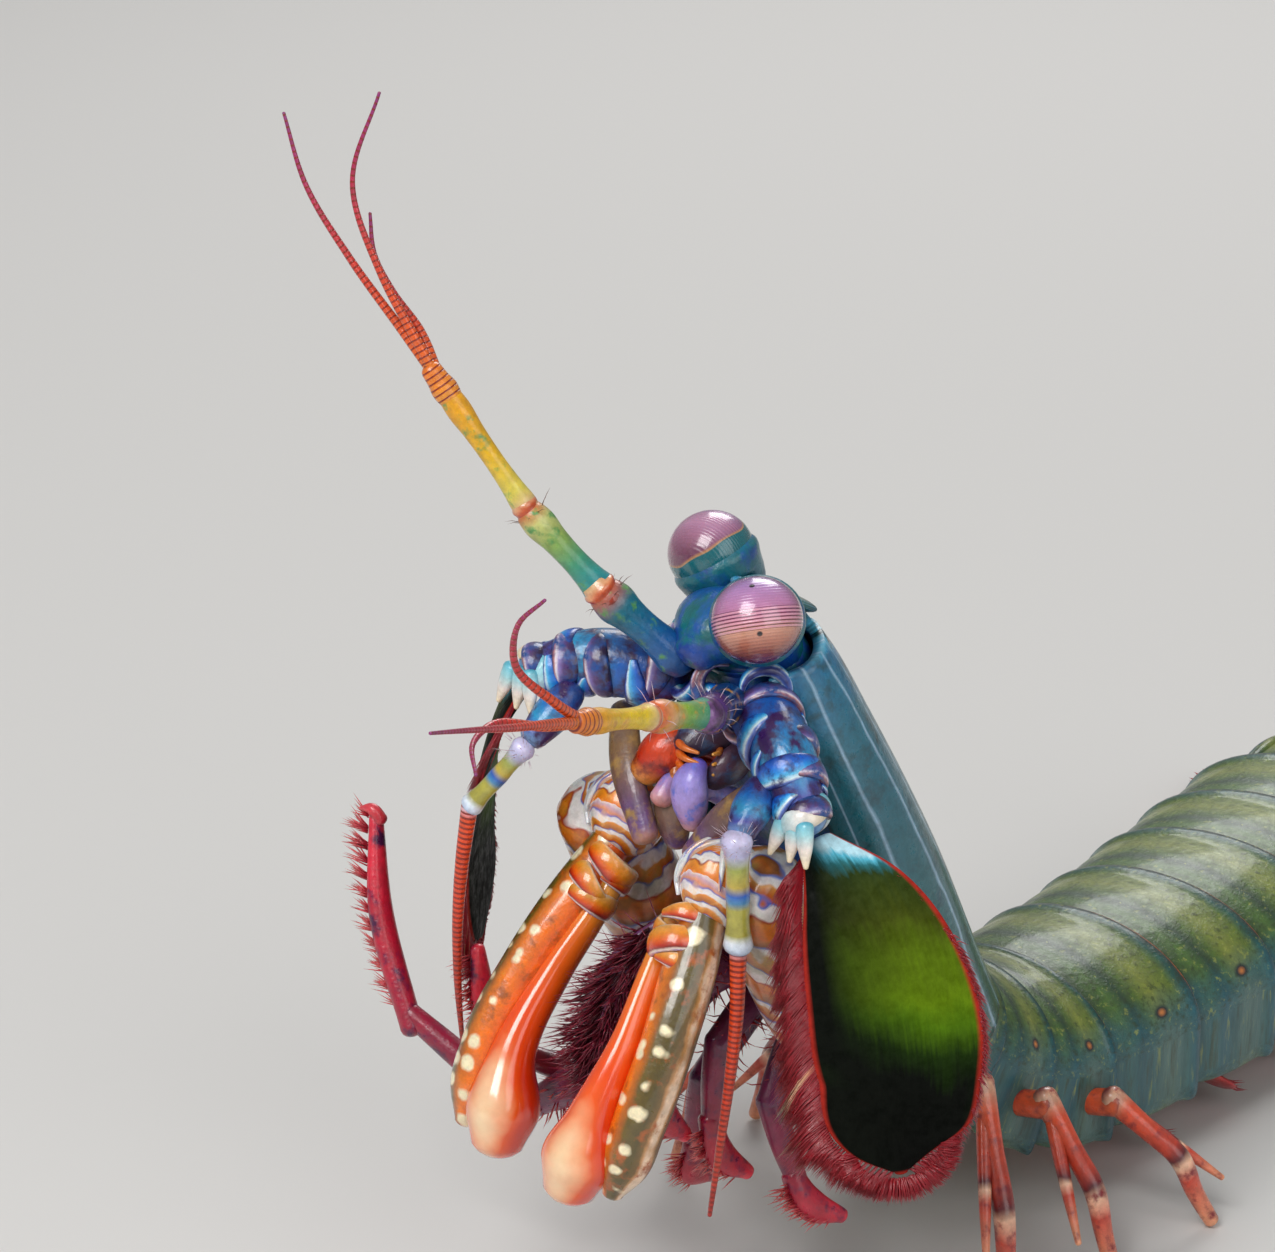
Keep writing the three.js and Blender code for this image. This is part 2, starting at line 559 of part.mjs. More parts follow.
for (const [name, [root, elbow, wrist, tip]] of Object.entries(MAXILLIPEDS)) {
  addPart(name, MAROON, (grow) => {
    const raised = name === "maxilliped_3_right";
    const under = raised ? [-3.8, -41.2, 21.6] : between(root, elbow, 0.5);
    const options = { sides: 6, steps: 1, grow };
    const arm = joined([root, under, elbow], [[1.1, 1.2], [1.1, 1.3], [1.0, 1.1]], options);
    const foreLine = [between(elbow, wrist, -0.06), between(elbow, wrist, 0.5), wrist];
    const fore = joined(foreLine, [[1.0, 1.0], [1.2, 1.2], [0.9, 0.9]], options);
    const outward = raised ? [-0.86, -0.3, 0.3] : [0, -1, 0];
    const middle = plus(between(wrist, tip, 0.5), outward, 1.2);
    const handLine = [between(wrist, tip, -0.08), middle, tip];
    const hand = joined(handLine, [[0.9, 0.9], [1.2, 1.7], [0.5, 0.6]], options);
    const bristles = Array.from({ length: HAND_SPIKES }, (_, i) => {
      const t = 0.15 + (0.75 * i) / (HAND_SPIKES - 1);
      const bow = 4 * t * (1 - t) * 0.9;
      const on = plus(between(wrist, tip, t), outward, bow);
      return spike(on, plus(on, outward, 2.9), 0.6, 0.3, { side: plus(tip, wrist, -1), sides: 3, grow });
    });
    return fuse([arm, fore, hand, ...bristles]);
  });
}

// Walking legs, three pairs: a jointed base, the shin that stands on the floor, and a side rod.
// Each joint is given as [out from the body line, backwards, height].
const LEGS = [
  { s: 16.8, knee: [11.8, -2.6, 16.0], ankle: [16.4, -5.0, 8.6], foot: [18.2, -6.0, 0] },
  { s: 10.4, knee: [12.2, -0.4, 12.6], ankle: [17.2, -0.6, 7.2], foot: [19.4, -0.4, 0] },
  { s: 3.6, knee: [12.4, 1.2, 10.0], ankle: [17.2, 3.2, 6.2], foot: [19.2, 5.2, 0] },
];
for (const [flank, way] of [["left", 1], ["right", -1]]) {
  LEGS.forEach(({ s, knee, ankle, foot }, i) => {
    const { back, point } = levelFrame(s);
    const joint = ([out, behind, height]) => point([way * out, behind, height]);
    addPart(`leg_${i + 1}_${flank}`, SCARLET, (grow) => {
      const points = [beside(s, way * 5.6, -3.2), ...[knee, ankle, foot].map(joint)];
      const options = { side: back, sides: 6, steps: 1, grow };
      const thighLine = [points[0], between(points[0], points[1], 0.6), points[1]];
      const thigh = joined(thighLine, [[1.4, 1.4], [1.0, 1.1], [1.15, 1.15]], options);
      const shinLine = [between(points[1], points[2], -0.1), points[2], plus(points[3], [0, 0, -0.6])];
      const shin = joined(shinLine, [[1.0, 1.0], [0.85, 0.85], [0.75, 0.75]], options);
      const rodEnd = joint(plus(ankle, [1.4, i === 2 ? 4.0 : -3.4, -2.8]));
      const rodLine = [points[1], between(points[1], rodEnd, 0.6), rodEnd];
      const rod = joined(rodLine, [[0.6, 0.6], [0.5, 0.5], [0.35, 0.35]], { ...options, sides: 5 });
      return fuse([thigh, shin, rod]);
    });
  });
}

// Swimmerets, five pairs. Each pair is linked across the middle and has two fringed flaps a side,
// with a tuft of gill threads at their root.
const FLAP_LOCKS = 2;
const GILL_THREADS = 2; // a side
for (let pair = 1; pair <= 5; pair += 1) {
  const s = -ABDOMEN_PITCH * (pair - 1) - 3;
  const { left, back, point } = levelFrame(s);
  addPart(`swimmeret_${pair}`, SCARLET, (grow) => {
    const bridgeLine = [[-5.6, 0, 6.6], [0, 0, 6.0], [5.6, 0, 6.6]].map(point);
    const bridgeHalves = [[0.9, 1.0], [0.6, 0.7], [0.9, 1.0]];
    const bridge = joined(bridgeLine, bridgeHalves, { side: back, sides: 6, steps: 1, grow });
    const flaps = [-1, 1].flatMap((way) => {
      return [[7.4, 1.0], [3.2, 0]].flatMap(([x, out]) => {
        const root = [way * (x - 0.6), -0.4, 6.5];
        const tip = [way * (x + out), 5.4, 1.9];
        const stations = [root, between(root, tip, 0.55), tip].map(point);
        const bladeHalves = [[0.9, 0.5], [2.0, 0.42], [0.8, 0.32]];
        const blade = joined(stations, bladeHalves, { side: left, sides: 6, steps: 1, grow });
        const locks = Array.from({ length: FLAP_LOCKS }, (_, i) => {
          const spread = -1 + (2 * i) / (FLAP_LOCKS - 1);
          const on = plus(between(root, tip, 0.8), [spread * 1.0, 0, 0]);
          const end = plus(on, [spread * 1.1, 3.2, -1.4]);
          return spike(point(on), point(end), 0.6, 0.32, { side: left, sides: 3, grow });
        });
        return [blade, ...locks];
      });
    });
    const gills = [-1, 1].flatMap((way) => {
      return Array.from({ length: GILL_THREADS }, (_, i) => {
        const on = [way * 5.2, -0.4, 6.5];
        const tip = point([way * (4.4 + i * 1.8), 2.4, 4.4]);
        return spike(point(on), tip, 0.45, 0.4, { sides: 3, grow });
      });
    });
    return fuse([bridge, ...flaps, ...gills]);
  });
}

// Telson: the end plate, with a middle keel, side keels and six teeth on its back edge.
// Places on the tail are [out to the left, behind the abdomen, height].
const tail = levelFrame(-ABDOMEN_PITCH * 6 - SEAM / 2);
const tailSpike = (root, tip, halfWidth, halfDepth, grow) => {
  return spike(tail.point(root), tail.point(tip), halfWidth, halfDepth, { side: tail.left, grow });
};
const TELSON_LENGTH = 19;
const TELSON_KEELS = [0, -3.4, 3.4, -6.8, 6.8];
const TEETH = [[2.6, 17.2, 3.6, 0.9], [6.2, 16.4, 3.4, 1.2], [9.2, 12.4, 2.8, 1.0]];
addPart("telson", OLIVE, (grow) => {
  const at = (share, z) => tail.point([0, TELSON_LENGTH * share, z]);
  const stations = [
    [...at(1, 1.9), 7.2, 1.2],
    [...at(0.75, 3.3), 9.6, 2.6],
    [...at(0.35, 6.0), 10.6, 4.2],
    [...at(0, 9.2), 10.0, 5.0],
  ];
  const plate = tube(stations, { side: tail.left, sides: 18, steps: 1, section: archSection, grow });
  const keels = TELSON_KEELS.map((x) => {
    const lift = 4.9 * Math.sqrt(1 - (x / 10.6) ** 2);
    return tailSpike([x * 0.9, 2, 8.6 + lift * 0.9], [x, 15.5, 3.6 + lift * 0.62], 0.8, 1.0, grow);
  });
  const teeth = TEETH.flatMap(([x, behind, length, half]) => {
    return [-1, 1].map((way) => {
      const tip = [way * (x + 0.5), behind + length, 0.9];
      return tailSpike([way * x, behind - 1.4, x > 8 ? 2.4 : 1.5], tip, half, 0.8, grow);
    });
  });
  return fuse([plate, ...keels, ...teeth]);
});

// Uropods: the base with its forked spine, the outer blade with movable spines, the inner blade.
const OUTER_SPINES = 6;
const UROPOD = {
  base: [[8.6, -3.4, 6.0, 2.0, 1.9], [11.6, -0.6, 5.0, 2.1, 1.8], [14.2, 2.2, 4.2, 1.8, 1.4]],
  outer: [[14.0, 1.2, 4.2, 1.6, 1.2], [17.6, 6.0, 3.7, 2.3, 1.2], [20.0, 11.2, 3.1, 1.9, 0.9]],
  paddle: [[19.8, 10.6, 3.0, 1.7, 0.8], [21.4, 15.6, 2.4, 2.9, 0.6], [22.4, 20.4, 1.9, 1.4, 0.45]],
  inner: [[13.4, 1.8, 2.6, 1.2, 0.8], [15.4, 9.2, 1.8, 2.4, 0.6], [16.6, 17.0, 1.3, 1.2, 0.4]],
};
for (const [flank, way] of [["left", 1], ["right", -1]]) {
  const place = ([x, behind, z]) => [way * x, behind, z];
  addPart(`uropod_${flank}`, SCARLET, (grow) => {
    const blades = Object.values(UROPOD).map((rows) => {
      const stations = rows.map(([x, behind, z, half, height]) => {
        return [...tail.point(place([x, behind, z])), half, height];
      });
      return tube(stations, { side: tail.left, sides: 7, steps: 1, grow });
    });
    const fork = [
      tailSpike(place([12.6, 1.6, 4.6]), place([14.6, 15.6, 3.4]), 1.0, 0.8, grow),
      tailSpike(place([12.2, 1.6, 4.4]), place([12.4, 10.6, 3.6]), 0.9, 0.7, grow),
    ];
    const spines = Array.from({ length: OUTER_SPINES }, (_, i) => {
      const t = i / (OUTER_SPINES - 1);
      const on = [15.2 + 5.0 * t, 2.2 + 8.4 * t, 4.0 - 0.7 * t];
      const end = plus(on, [2.4 + 0.6 * t, 2.0 + 1.4 * t, -0.3]);
      return tailSpike(place(on), place(end), 0.55, 0.45, grow);
    });
    const fringeOf = (centre, halfWide, halfLong, locks) => {
      const along = vector(tail.way(place([0.22, 1, -0.1]))).normalize().toArray();
      const across = vector(tail.way(place([1, -0.22, 0]))).normalize().toArray();
      const plate = { across, along, centre: tail.point(place(centre)), halfWide, halfLong, grow };
      return fringe(plate, locks, () => 2.6);
    };
    const outerFringe = fringeOf([21.4, 16.0, 2.3], 2.5, 4.2, 6);
    const innerFringe = fringeOf([15.6, 11.2, 1.6], 2.0, 5.8, 7);
    return fuse([...blades, ...fork, ...spines, ...outerFringe, ...innerFringe]);
  });
}

export default model;
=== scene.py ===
# %% [markdown]
# # A peacock mantis shrimp, reared up on a pale floor
# The solids from the CAD step give every part its place and size. This script dresses them:
# it models each part again as a finer mesh on the same lines, gives it its spines, bristles and
# folds, and paints it with procedural finishes. One part is worked at a time, head first.

import math
import random

import bmesh
import bpy
import numpy as np
from mathutils import Matrix, Vector


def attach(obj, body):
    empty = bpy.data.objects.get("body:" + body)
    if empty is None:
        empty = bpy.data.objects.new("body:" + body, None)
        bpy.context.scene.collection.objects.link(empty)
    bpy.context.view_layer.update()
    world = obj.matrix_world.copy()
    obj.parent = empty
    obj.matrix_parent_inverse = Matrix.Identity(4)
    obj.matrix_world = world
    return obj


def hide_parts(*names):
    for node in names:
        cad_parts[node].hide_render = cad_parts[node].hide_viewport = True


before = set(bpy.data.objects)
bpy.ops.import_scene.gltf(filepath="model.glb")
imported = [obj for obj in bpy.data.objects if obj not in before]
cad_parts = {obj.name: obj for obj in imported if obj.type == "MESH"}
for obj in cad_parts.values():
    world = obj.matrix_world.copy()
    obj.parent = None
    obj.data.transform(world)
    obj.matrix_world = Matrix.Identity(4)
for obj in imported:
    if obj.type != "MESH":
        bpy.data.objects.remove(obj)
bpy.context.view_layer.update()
print("solids loaded:", len(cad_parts))

# %% [markdown]
# ## Camera
# The photograph looks down a little on the animal's left front. A long lens keeps the far
# claw nearly as large as the near one, as the photograph shows it. The camera is built from
# its three directions, so that its place can be read straight from the numbers.

# %% The camera
MM = 0.001
AZIMUTH = math.radians(47)
ELEVATION = math.radians(20)
CAMERA_PLACE = Vector((213.56, -238.80, 159.20)) * MM
LENS = 118.6

camera_data = bpy.data.cameras.new("camera")
camera_data.lens = LENS
camera_data.sensor_width = 36
camera_data.clip_start = 0.01
camera = bpy.data.objects.new("camera", camera_data)
bpy.context.scene.collection.objects.link(camera)
right_way = Vector((math.cos(AZIMUTH), math.sin(AZIMUTH), 0))
back_way = Vector((
    math.sin(AZIMUTH) * math.cos(ELEVATION),
    -math.cos(AZIMUTH) * math.cos(ELEVATION),
    math.sin(ELEVATION),
))
turn = Matrix((right_way, back_way.cross(right_way), back_way)).transposed()
camera.matrix_world = Matrix.Translation(CAMERA_PLACE) @ turn.to_4x4()
bpy.context.scene.camera = camera
print("camera at", [round(v, 3) for v in CAMERA_PLACE])

# %% [markdown]
# ## Tools for shapes
# Nearly every part of a shrimp is a tube that swells and thins along a bent line: a leg, a
# feeler, a ring of the tail. Such a tube could be sculpted, or drawn as a curve with a bevel.
# Here a circle is extruded from station to station, because each station then has its own
# width and height, and every corner can remember where it lies on the part. Two attributes
# hold that: `share` has the place across the section (-1 to 1) and along the part (0 to 1),
# and `lie` has the same place in millimetres. The finishes are painted on these.

# %% Lines
FLANKS = {"left": 1, "right": -1}  # the animal's left is +X
MIDDLE = Vector((-8.3, 4.2, 0))  # of the figure on the floor, in body millimetres
TO_FRAME = Matrix.Scale(MM, 4) @ Matrix.Translation(-MIDDLE)
random.seed(11)


def between(a, b, t):
    return Vector(a).lerp(Vector(b), t)


def rows_of(points, halves):
    """Stations: a point with its half width and half height, or one number for both."""
    return [[*point, *(half if isinstance(half, tuple) else (half, half))]
            for point, half in zip(points, halves)]


def smooth_line(rows, pitch):
    """The stations joined by a smooth line, with a row about every `pitch` millimetres."""
    rows = np.array(rows, float)
    gaps = np.maximum(np.linalg.norm(np.diff(rows[:, :3], axis=0), axis=1), 1e-6)
    slopes = np.diff(rows, axis=0) / gaps[:, None]
    before, after = gaps[:-1, None], gaps[1:, None]
    inner = (slopes[:-1] * after + slopes[1:] * before) / (before + after)
    tangents = np.vstack([slopes[:1], inner, slopes[-1:]])
    line = []
    for i, gap in enumerate(gaps):
        count = max(1, round(gap / pitch))
        for t in np.arange(count) / count:
            line.append(
                rows[i] * (1 + 2 * t) * (1 - t) ** 2
                + tangents[i] * gap * t * (1 - t) ** 2
                + rows[i + 1] * t * t * (3 - 2 * t)
                + tangents[i + 1] * gap * t * t * (t - 1)
            )
    line.append(rows[-1])
    return np.array(line)


def rounded(line):
    """The same line with a round nose added at both ends."""
    for _ in range(2):
        end, way = line[-1], line[-1, :3] - line[-2, :3]
        way = way / np.linalg.norm(way)
        nose = []
        for angle in (0.45, 0.85, 1.2, 1.45):
            place = end[:3] + way * math.sin(angle) * 0.75 * min(end[3], end[4])
            nose.append([*place, *(end[3:] * math.cos(angle))])
        line = np.vstack([line, nose])[::-1]
    return line


# %% Lofts
def new_bmesh():
    bm = bmesh.new()
    for name in ("share", "lie"):
        bm.verts.layers.float_vector.new(name)
    return bm


def layers(bm):
    return [bm.verts.layers.float_vector[name] for name in ("share", "lie")]


def station_matrix(row, forward, side):
    """Puts a flat unit circle across the line at a station, with its width along `side`."""
    across = (side - forward * side.dot(forward)).normalized()
    turn = Matrix((across, forward.cross(across), forward)).transposed().to_4x4()
    size = Matrix.Diagonal((max(row[3], 0.01), max(row[4], 0.01), 1, 1))
    return Matrix.Translation(row[:3]) @ turn @ size


def merge(part, bm):
    """Adds one finished part to the mesh of its piece. Operators run faster on small meshes."""
    mesh = bpy.data.meshes.new("part")
    part.to_mesh(mesh)
    part.free()
    bm.from_mesh(mesh)
    bpy.data.meshes.remove(mesh)


def loft(bm, rows, side=(1, 0, 0), sides=32, pitch=0.3, section=None, finish=0, span=(0, 1),
         open_below=None):
    """Extrudes a circle along the smooth line of the stations. `span` is what `share` runs over.

    A limb's ends are rounded; those of a ring with its own section stay flat. With `open_below`,
    the part of the section under that height is left away, as on a saddle.
    """
    line = smooth_line(rows, pitch)
    if not section and open_below is None:
        line = rounded(line)
    ways = np.gradient(line[:, :3], axis=0)
    steps = np.linalg.norm(np.diff(line[:, :3], axis=0), axis=1)
    travel = np.concatenate([[0], np.cumsum(steps)])
    part = new_bmesh()
    share, lie = layers(part)
    ring = bmesh.ops.create_circle(part, segments=sides, radius=1)["verts"]
    for vert in ring:
        across, up = vert.co.x, vert.co.y
        vert[share] = (across, up, 0)
        if section:
            vert.co.x, vert.co.y = section(across, up)
    if open_below is not None:
        low = [v for v in ring if v.co.y < open_below]
        bmesh.ops.delete(part, geom=low, context="VERTS")
        ring = list(part.verts)
    edges = first_edges = list(part.edges)
    placed = Matrix.Identity(4)
    for row, way, gone in zip(line, ways, travel):
        if gone:
            made = bmesh.ops.extrude_edge_only(part, edges=edges)["geom"]
            ring = [e for e in made if isinstance(e, bmesh.types.BMVert)]
            fresh = set(ring)
            edges = [e for e in made
                     if isinstance(e, bmesh.types.BMEdge) and fresh.issuperset(e.verts)]
        matrix = station_matrix(row, Vector(way).normalized(), Vector(side))
        bmesh.ops.transform(part, matrix=matrix @ placed.inverted(), verts=ring)
        placed = matrix
        t = span[0] + (span[1] - span[0]) * gone / travel[-1]
        for vert in ring:
            across, up, _ = vert[share]
            vert[share] = (across, up, t)
            vert[lie] = (across * row[3], up * row[4], gone)
    if open_below is None:
        for rim in (first_edges, edges):
            cap = bmesh.ops.contextual_create(part, geom=rim)["faces"]
            bmesh.ops.poke(part, faces=cap)
    for face in part.faces:
        face.material_index = finish
    merge(part, bm)


def limb(bm, points, halves, **options):
    loft(bm, rows_of(points, halves), **options)


# %% [markdown]
# ## Beads, folds and bristles
# A sphere squeezed to an egg does for an eye or a wrist, and a bent loft, thin at both ends,
# does for a fold of skin. The bristles are thousands of thin spikes. The operators could make
# them one by one, but that takes minutes, so they alone are filled in from arrays, as one
# joined mesh of seven corners each.


# %% Beads and folds
def bead(bm, centre, halves, facets, turn=Matrix.Identity(3)):
    """An egg-shaped bead. `share` holds its own unit directions, and `lie` the millimetres."""
    share, lie = layers(bm)
    made = bmesh.ops.create_uvsphere(
        bm, u_segments=facets[0], v_segments=facets[1], radius=1
    )["verts"]
    for vert in made:
        vert[share] = vert.co
        vert[lie] = vert.co * Vector(halves)
    place = Matrix.Translation(centre) @ turn.to_4x4() @ Matrix.Diagonal((*halves, 1))
    bmesh.ops.transform(bm, matrix=place, verts=made)


def crescent(bm, centre, tilt, radius, begin, sweep, halves, finish):
    """A raised fold that lies round a middle: an arc about `tilt`, thin at both ends."""
    normal = Vector(tilt).normalized()
    level = normal.cross(Vector((0, 0, 1))).normalized()
    rise = level.cross(normal)
    rows = []
    for t in np.linspace(0, 1, 9):
        angle = begin + sweep * t
        size = 0.3 + 0.7 * math.sin(math.pi * t)
        at = Vector(centre) + (level * math.cos(angle) + rise * math.sin(angle)) * radius
        rows.append([*at, size * halves[0], size * halves[1]])
    loft(bm, rows, side=normal, sides=20, finish=finish)


# %% Bristles
def bristles(bm, hairs, width, finish=0):
    """Many setae as one mesh: each is (root, tip, bend), three-sided, and tapers to a point."""
    roots, tips, bends = (np.array([hair[i] for hair in hairs], float) for i in range(3))
    ways = tips - roots
    across = np.cross(ways, (0.31, 0.2, 0.93))
    across /= np.linalg.norm(across, axis=1, keepdims=True)
    up = np.cross(ways / np.linalg.norm(ways, axis=1, keepdims=True), across)
    corners, places = [], []
    for t, size in ((0.0, 1.0), (0.55, 0.7)):
        middle = roots + ways * t + (bends if t else 0)
        for k in range(3):
            angle = k * math.tau / 3
            ring = across * math.cos(angle) + up * math.sin(angle)
            corners.append(middle + width * size * ring)
            places.append(t)
    corners.append(tips)
    places.append(1.0)
    points = np.stack(corners, 1).reshape(-1, 3)
    shares = np.tile([(0.0, 0.0, t) for t in places], (len(hairs), 1))
    one = [(2, 1, 0)] + [(k, (k + 1) % 3, 3 + (k + 1) % 3, 3 + k) for k in range(3)]
    one += [(3 + k, 3 + (k + 1) % 3, 6) for k in range(3)]
    faces = [tuple(7 * i + corner for corner in face) for i in range(len(hairs)) for face in one]
    mesh = bpy.data.meshes.new("bristles")
    mesh.from_pydata(points.tolist(), [], faces)
    for name, values in (("share", shares), ("lie", points)):
        attribute = mesh.attributes.new(name, "FLOAT_VECTOR", "POINT")
        attribute.data.foreach_set("vector", values.ravel())
    mesh.polygons.foreach_set("material_index", [finish] * len(faces))
    bm.from_mesh(mesh)
    bpy.data.meshes.remove(mesh)


# %% Finished pieces
def piece(bm, name, node, slot, *finishes):
    """Makes the finished object, in place, that stands for a solid."""
    bmesh.ops.transform(bm, matrix=TO_FRAME, verts=bm.verts)
    bmesh.ops.recalc_face_normals(bm, faces=bm.faces)
    for face in bm.faces:
        face.smooth = True
    mesh = bpy.data.meshes.new(name)
    bm.to_mesh(mesh)
    bm.free()
    for finish in finishes:
        mesh.materials.append(finish)
    obj = bpy.data.objects.new(name, mesh)
    bpy.context.scene.collection.objects.link(obj)
    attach(obj, "root")
    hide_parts(*([node] if isinstance(node, str) else node))
    return obj


# %% [markdown]
# ## Tools for finishes
# The skin of a mantis shrimp is chitin: a hard, clear, slightly waxy layer over bright pigment.
# Light goes a little way in, so the edges glow, and the surface is smooth with a fine grain.
# One function mixes that finish. Its colours run along the part, a slow noise makes their
# borders waver, and specks and rings are laid over them. An image could hold all this too,
# but noise in millimetres stays sharp and needs no unwrapping.


# %% Colour and nodes
def colour(code, alpha=1.0):
    """An sRGB hex colour as the linear values that a shader reads."""
    parts = [int(code[i:i + 2], 16) / 255 for i in (0, 2, 4)]
    linear = [p / 12.92 if p <= 0.04045 else ((p + 0.055) / 1.055) ** 2.4 for p in parts]
    return (*linear, alpha)


def add(tree, kind, inputs=(), out=0, stops=(), **settings):
    """Adds a node and gives back one output, or all of them with out=None.

    Each input takes a plain value or the socket that feeds it, by name or in order. In order,
    a MapRange reads its value, from min, from max, to min and to max.
    """
    node = tree.nodes.new("ShaderNode" + kind)
    for key, value in settings.items():
        setattr(node, key, value)
    for key, value in inputs.items() if isinstance(inputs, dict) else enumerate(inputs):
        if isinstance(value, bpy.types.NodeSocket):
            tree.links.new(value, node.inputs[key])
        else:
            node.inputs[key].default_value = value
    for i, (place, code) in enumerate(stops):
        ramp = node.color_ramp.elements
        element = ramp[i] if i < 2 else ramp.new(place)
        element.position = place
        element.color = colour(code)
    return node.outputs if out is None else node.outputs[out]


def blank(name):
    """An empty material, and the attributes that the patterns are painted on."""
    material = bpy.data.materials.new(name)
    material.use_nodes = True
    tree = material.node_tree
    tree.nodes.clear()
    share, lie = (add(tree, "Attribute", out="Vector", attribute_name=a) for a in ("share", "lie"))
    return material, tree, share, lie


def overlay(tree, base, code, mask):
    """Paints one colour over another where the mask is white."""
    return add(tree, "Mix", {0: mask, 6: base, 7: colour(code)}, out=2, data_type="RGBA")


# %% The coat
CLOUD_MM = 0.9  # patches of denser pigment and duller wax


def coat(tree, base, height, rough=0.34, gloss=0.35, glow=0.15, depth=0.06, shine=0.5, patchy=1.0):
    """The clear waxy surface over the pigment. `depth` is the relief of the grain in mm."""
    bump = add(tree, "Bump", {"Strength": 1.0, "Distance": depth * MM, "Height": height})
    lie = add(tree, "Attribute", out="Vector", attribute_name="lie")
    cloud = add(
        tree, "TexNoise", {"Vector": lie, "Scale": 1 / CLOUD_MM, "Detail": 6.0, "Roughness": 0.7}
    )
    tone = add(tree, "MapRange", [cloud, 0.32, 0.68, 1 - 0.28 * patchy, 1 + 0.14 * patchy])
    skin = add(tree, "BsdfPrincipled", {
        "Base Color": add(tree, "VectorMath", {0: base, 3: tone}, operation="SCALE"),
        "Roughness": add(tree, "MapRange", [cloud, 0.35, 0.65, rough * 1.4, rough * 0.75]),
        "Normal": bump,
        "IOR": 1.56,  # of chitin
        "Specular IOR Level": shine,
        "Coat Weight": gloss,
        "Coat Roughness": 0.12,
        "Subsurface Weight": glow,
        "Subsurface Radius": (1.0, 0.45, 0.3),
        "Subsurface Scale": 1.2 * MM,
    })
    add(tree, "OutputMaterial", {"Surface": skin}, out=None)


# %% Patterns that are laid over the pigment
def mottled(tree, base, lie, code, patch_mm, amount):
    patches = add(
        tree, "TexNoise", {"Vector": lie, "Scale": 1 / patch_mm, "Detail": 5.0, "Roughness": 0.6}
    )
    mask = add(tree, "MapRange", [patches, 0.62 - 0.3 * amount, 0.72 - 0.22 * amount])
    return overlay(tree, base, code, mask)


def lined(tree, base, across, shift, code, places):
    """Pale lengthwise lines, each with a faint wide border."""
    for middle in places:
        aside = add(tree, "Math", [across], operation="ABSOLUTE")
        aside = add(tree, "Math", [shift, 0.03, aside], operation="MULTIPLY_ADD")
        near = add(tree, "Math", [aside, middle], operation="SUBTRACT")
        near = add(tree, "Math", [near], operation="ABSOLUTE")
        for width, core, strength, hue in ((0.06, 0.01, 0.3, "5a90a8"), (0.009, 0.0, 0.8, code)):
            mask = add(tree, "MapRange", [near, width, core, 0.0, strength])
            base = overlay(tree, base, hue, mask)
    return base


def specked(tree, base, lie, shift, code, spacing, radius, rows):
    """Rows of round spots along the part, set a little unevenly by cell noise."""
    aside, _, length = add(tree, "SeparateXYZ", [lie], out=None)
    step = add(tree, "Math", [length, 1 / spacing], operation="MULTIPLY")
    for row in rows:
        offset = add(tree, "Math", [step, row * 2.7], operation="ADD")
        cells = add(tree, "TexVoronoi", {"W": offset, "Scale": 1.0}, voronoi_dimensions="1D")
        down = add(tree, "Math", [cells, spacing], operation="MULTIPLY")
        away = add(tree, "Math", [aside, row], operation="SUBTRACT")
        gap = add(tree, "CombineXYZ", [away, down])
        gap = add(tree, "VectorMath", [gap], out="Value", operation="LENGTH")
        gap = add(tree, "Math", [shift, 1.6, gap], operation="MULTIPLY_ADD")
        mask = add(tree, "MapRange", [gap, radius, radius * 0.5])
        base = overlay(tree, base, code, mask)
    return base


# %% Chitin with colours along the part
ALONG = 2  # the axis of `share` that runs from root to tip
GRAIN_MM = 0.35  # coarser than the real grain, which is too fine to show


def chitin(name, stops, axis=ALONG, waver=0.12, waver_mm=2.5, mottle=None, specks=None,
           rings=None, lines=None, **surface):
    """Chitin whose colours run along an axis of `share`.

    mottle is (hex, patch size in mm, amount); specks is (hex, spacing, radius, places of
    their rows across the part), all in mm; rings is (hex, pitch in mm, dark share of the pitch);
    lines is (hex, places across the part) of pale lengthwise lines.
    """
    material, tree, share, lie = blank(name)
    axes = add(tree, "SeparateXYZ", [share], out=None)
    noise = add(tree, "TexNoise", {"Vector": lie, "Scale": 1 / waver_mm, "Detail": 3.0})
    shift = add(tree, "Math", [noise, 0.5], operation="SUBTRACT")
    run = add(tree, "Math", [shift, waver, axes[axis]], operation="MULTIPLY_ADD")
    if axis != ALONG:
        run = add(tree, "MapRange", [run, -1.0, 1.0])
    base = add(tree, "ValToRGB", [run], stops=stops)
    if mottle:
        base = mottled(tree, base, lie, *mottle)
    if lines:
        base = lined(tree, base, axes[0], shift, *lines)
    if specks:
        base = specked(tree, base, lie, shift, *specks)
    grain = add(tree, "TexNoise", {"Vector": lie, "Scale": 1 / GRAIN_MM, "Detail": 4.0})
    if rings:
        code, pitch, dark = rings
        length = add(tree, "SeparateXYZ", [lie], out=2)
        pulse = add(tree, "Math", [length, 1 / pitch], operation="MULTIPLY")
        pulse = add(tree, "Math", [pulse], operation="FRACT")
        mask = add(tree, "MapRange", [pulse, 1 - dark, 1 - dark * 0.5])
        base = overlay(tree, base, code, mask)
        grain = add(tree, "Math", [mask, -1.5, grain], operation="MULTIPLY_ADD")
    coat(tree, base, grain, **surface)
    return material


# %% Chitin with crisp bands
BAND_WAY = (0.06, 0.05, 1.0)  # bands without a centre cross the part nearly square


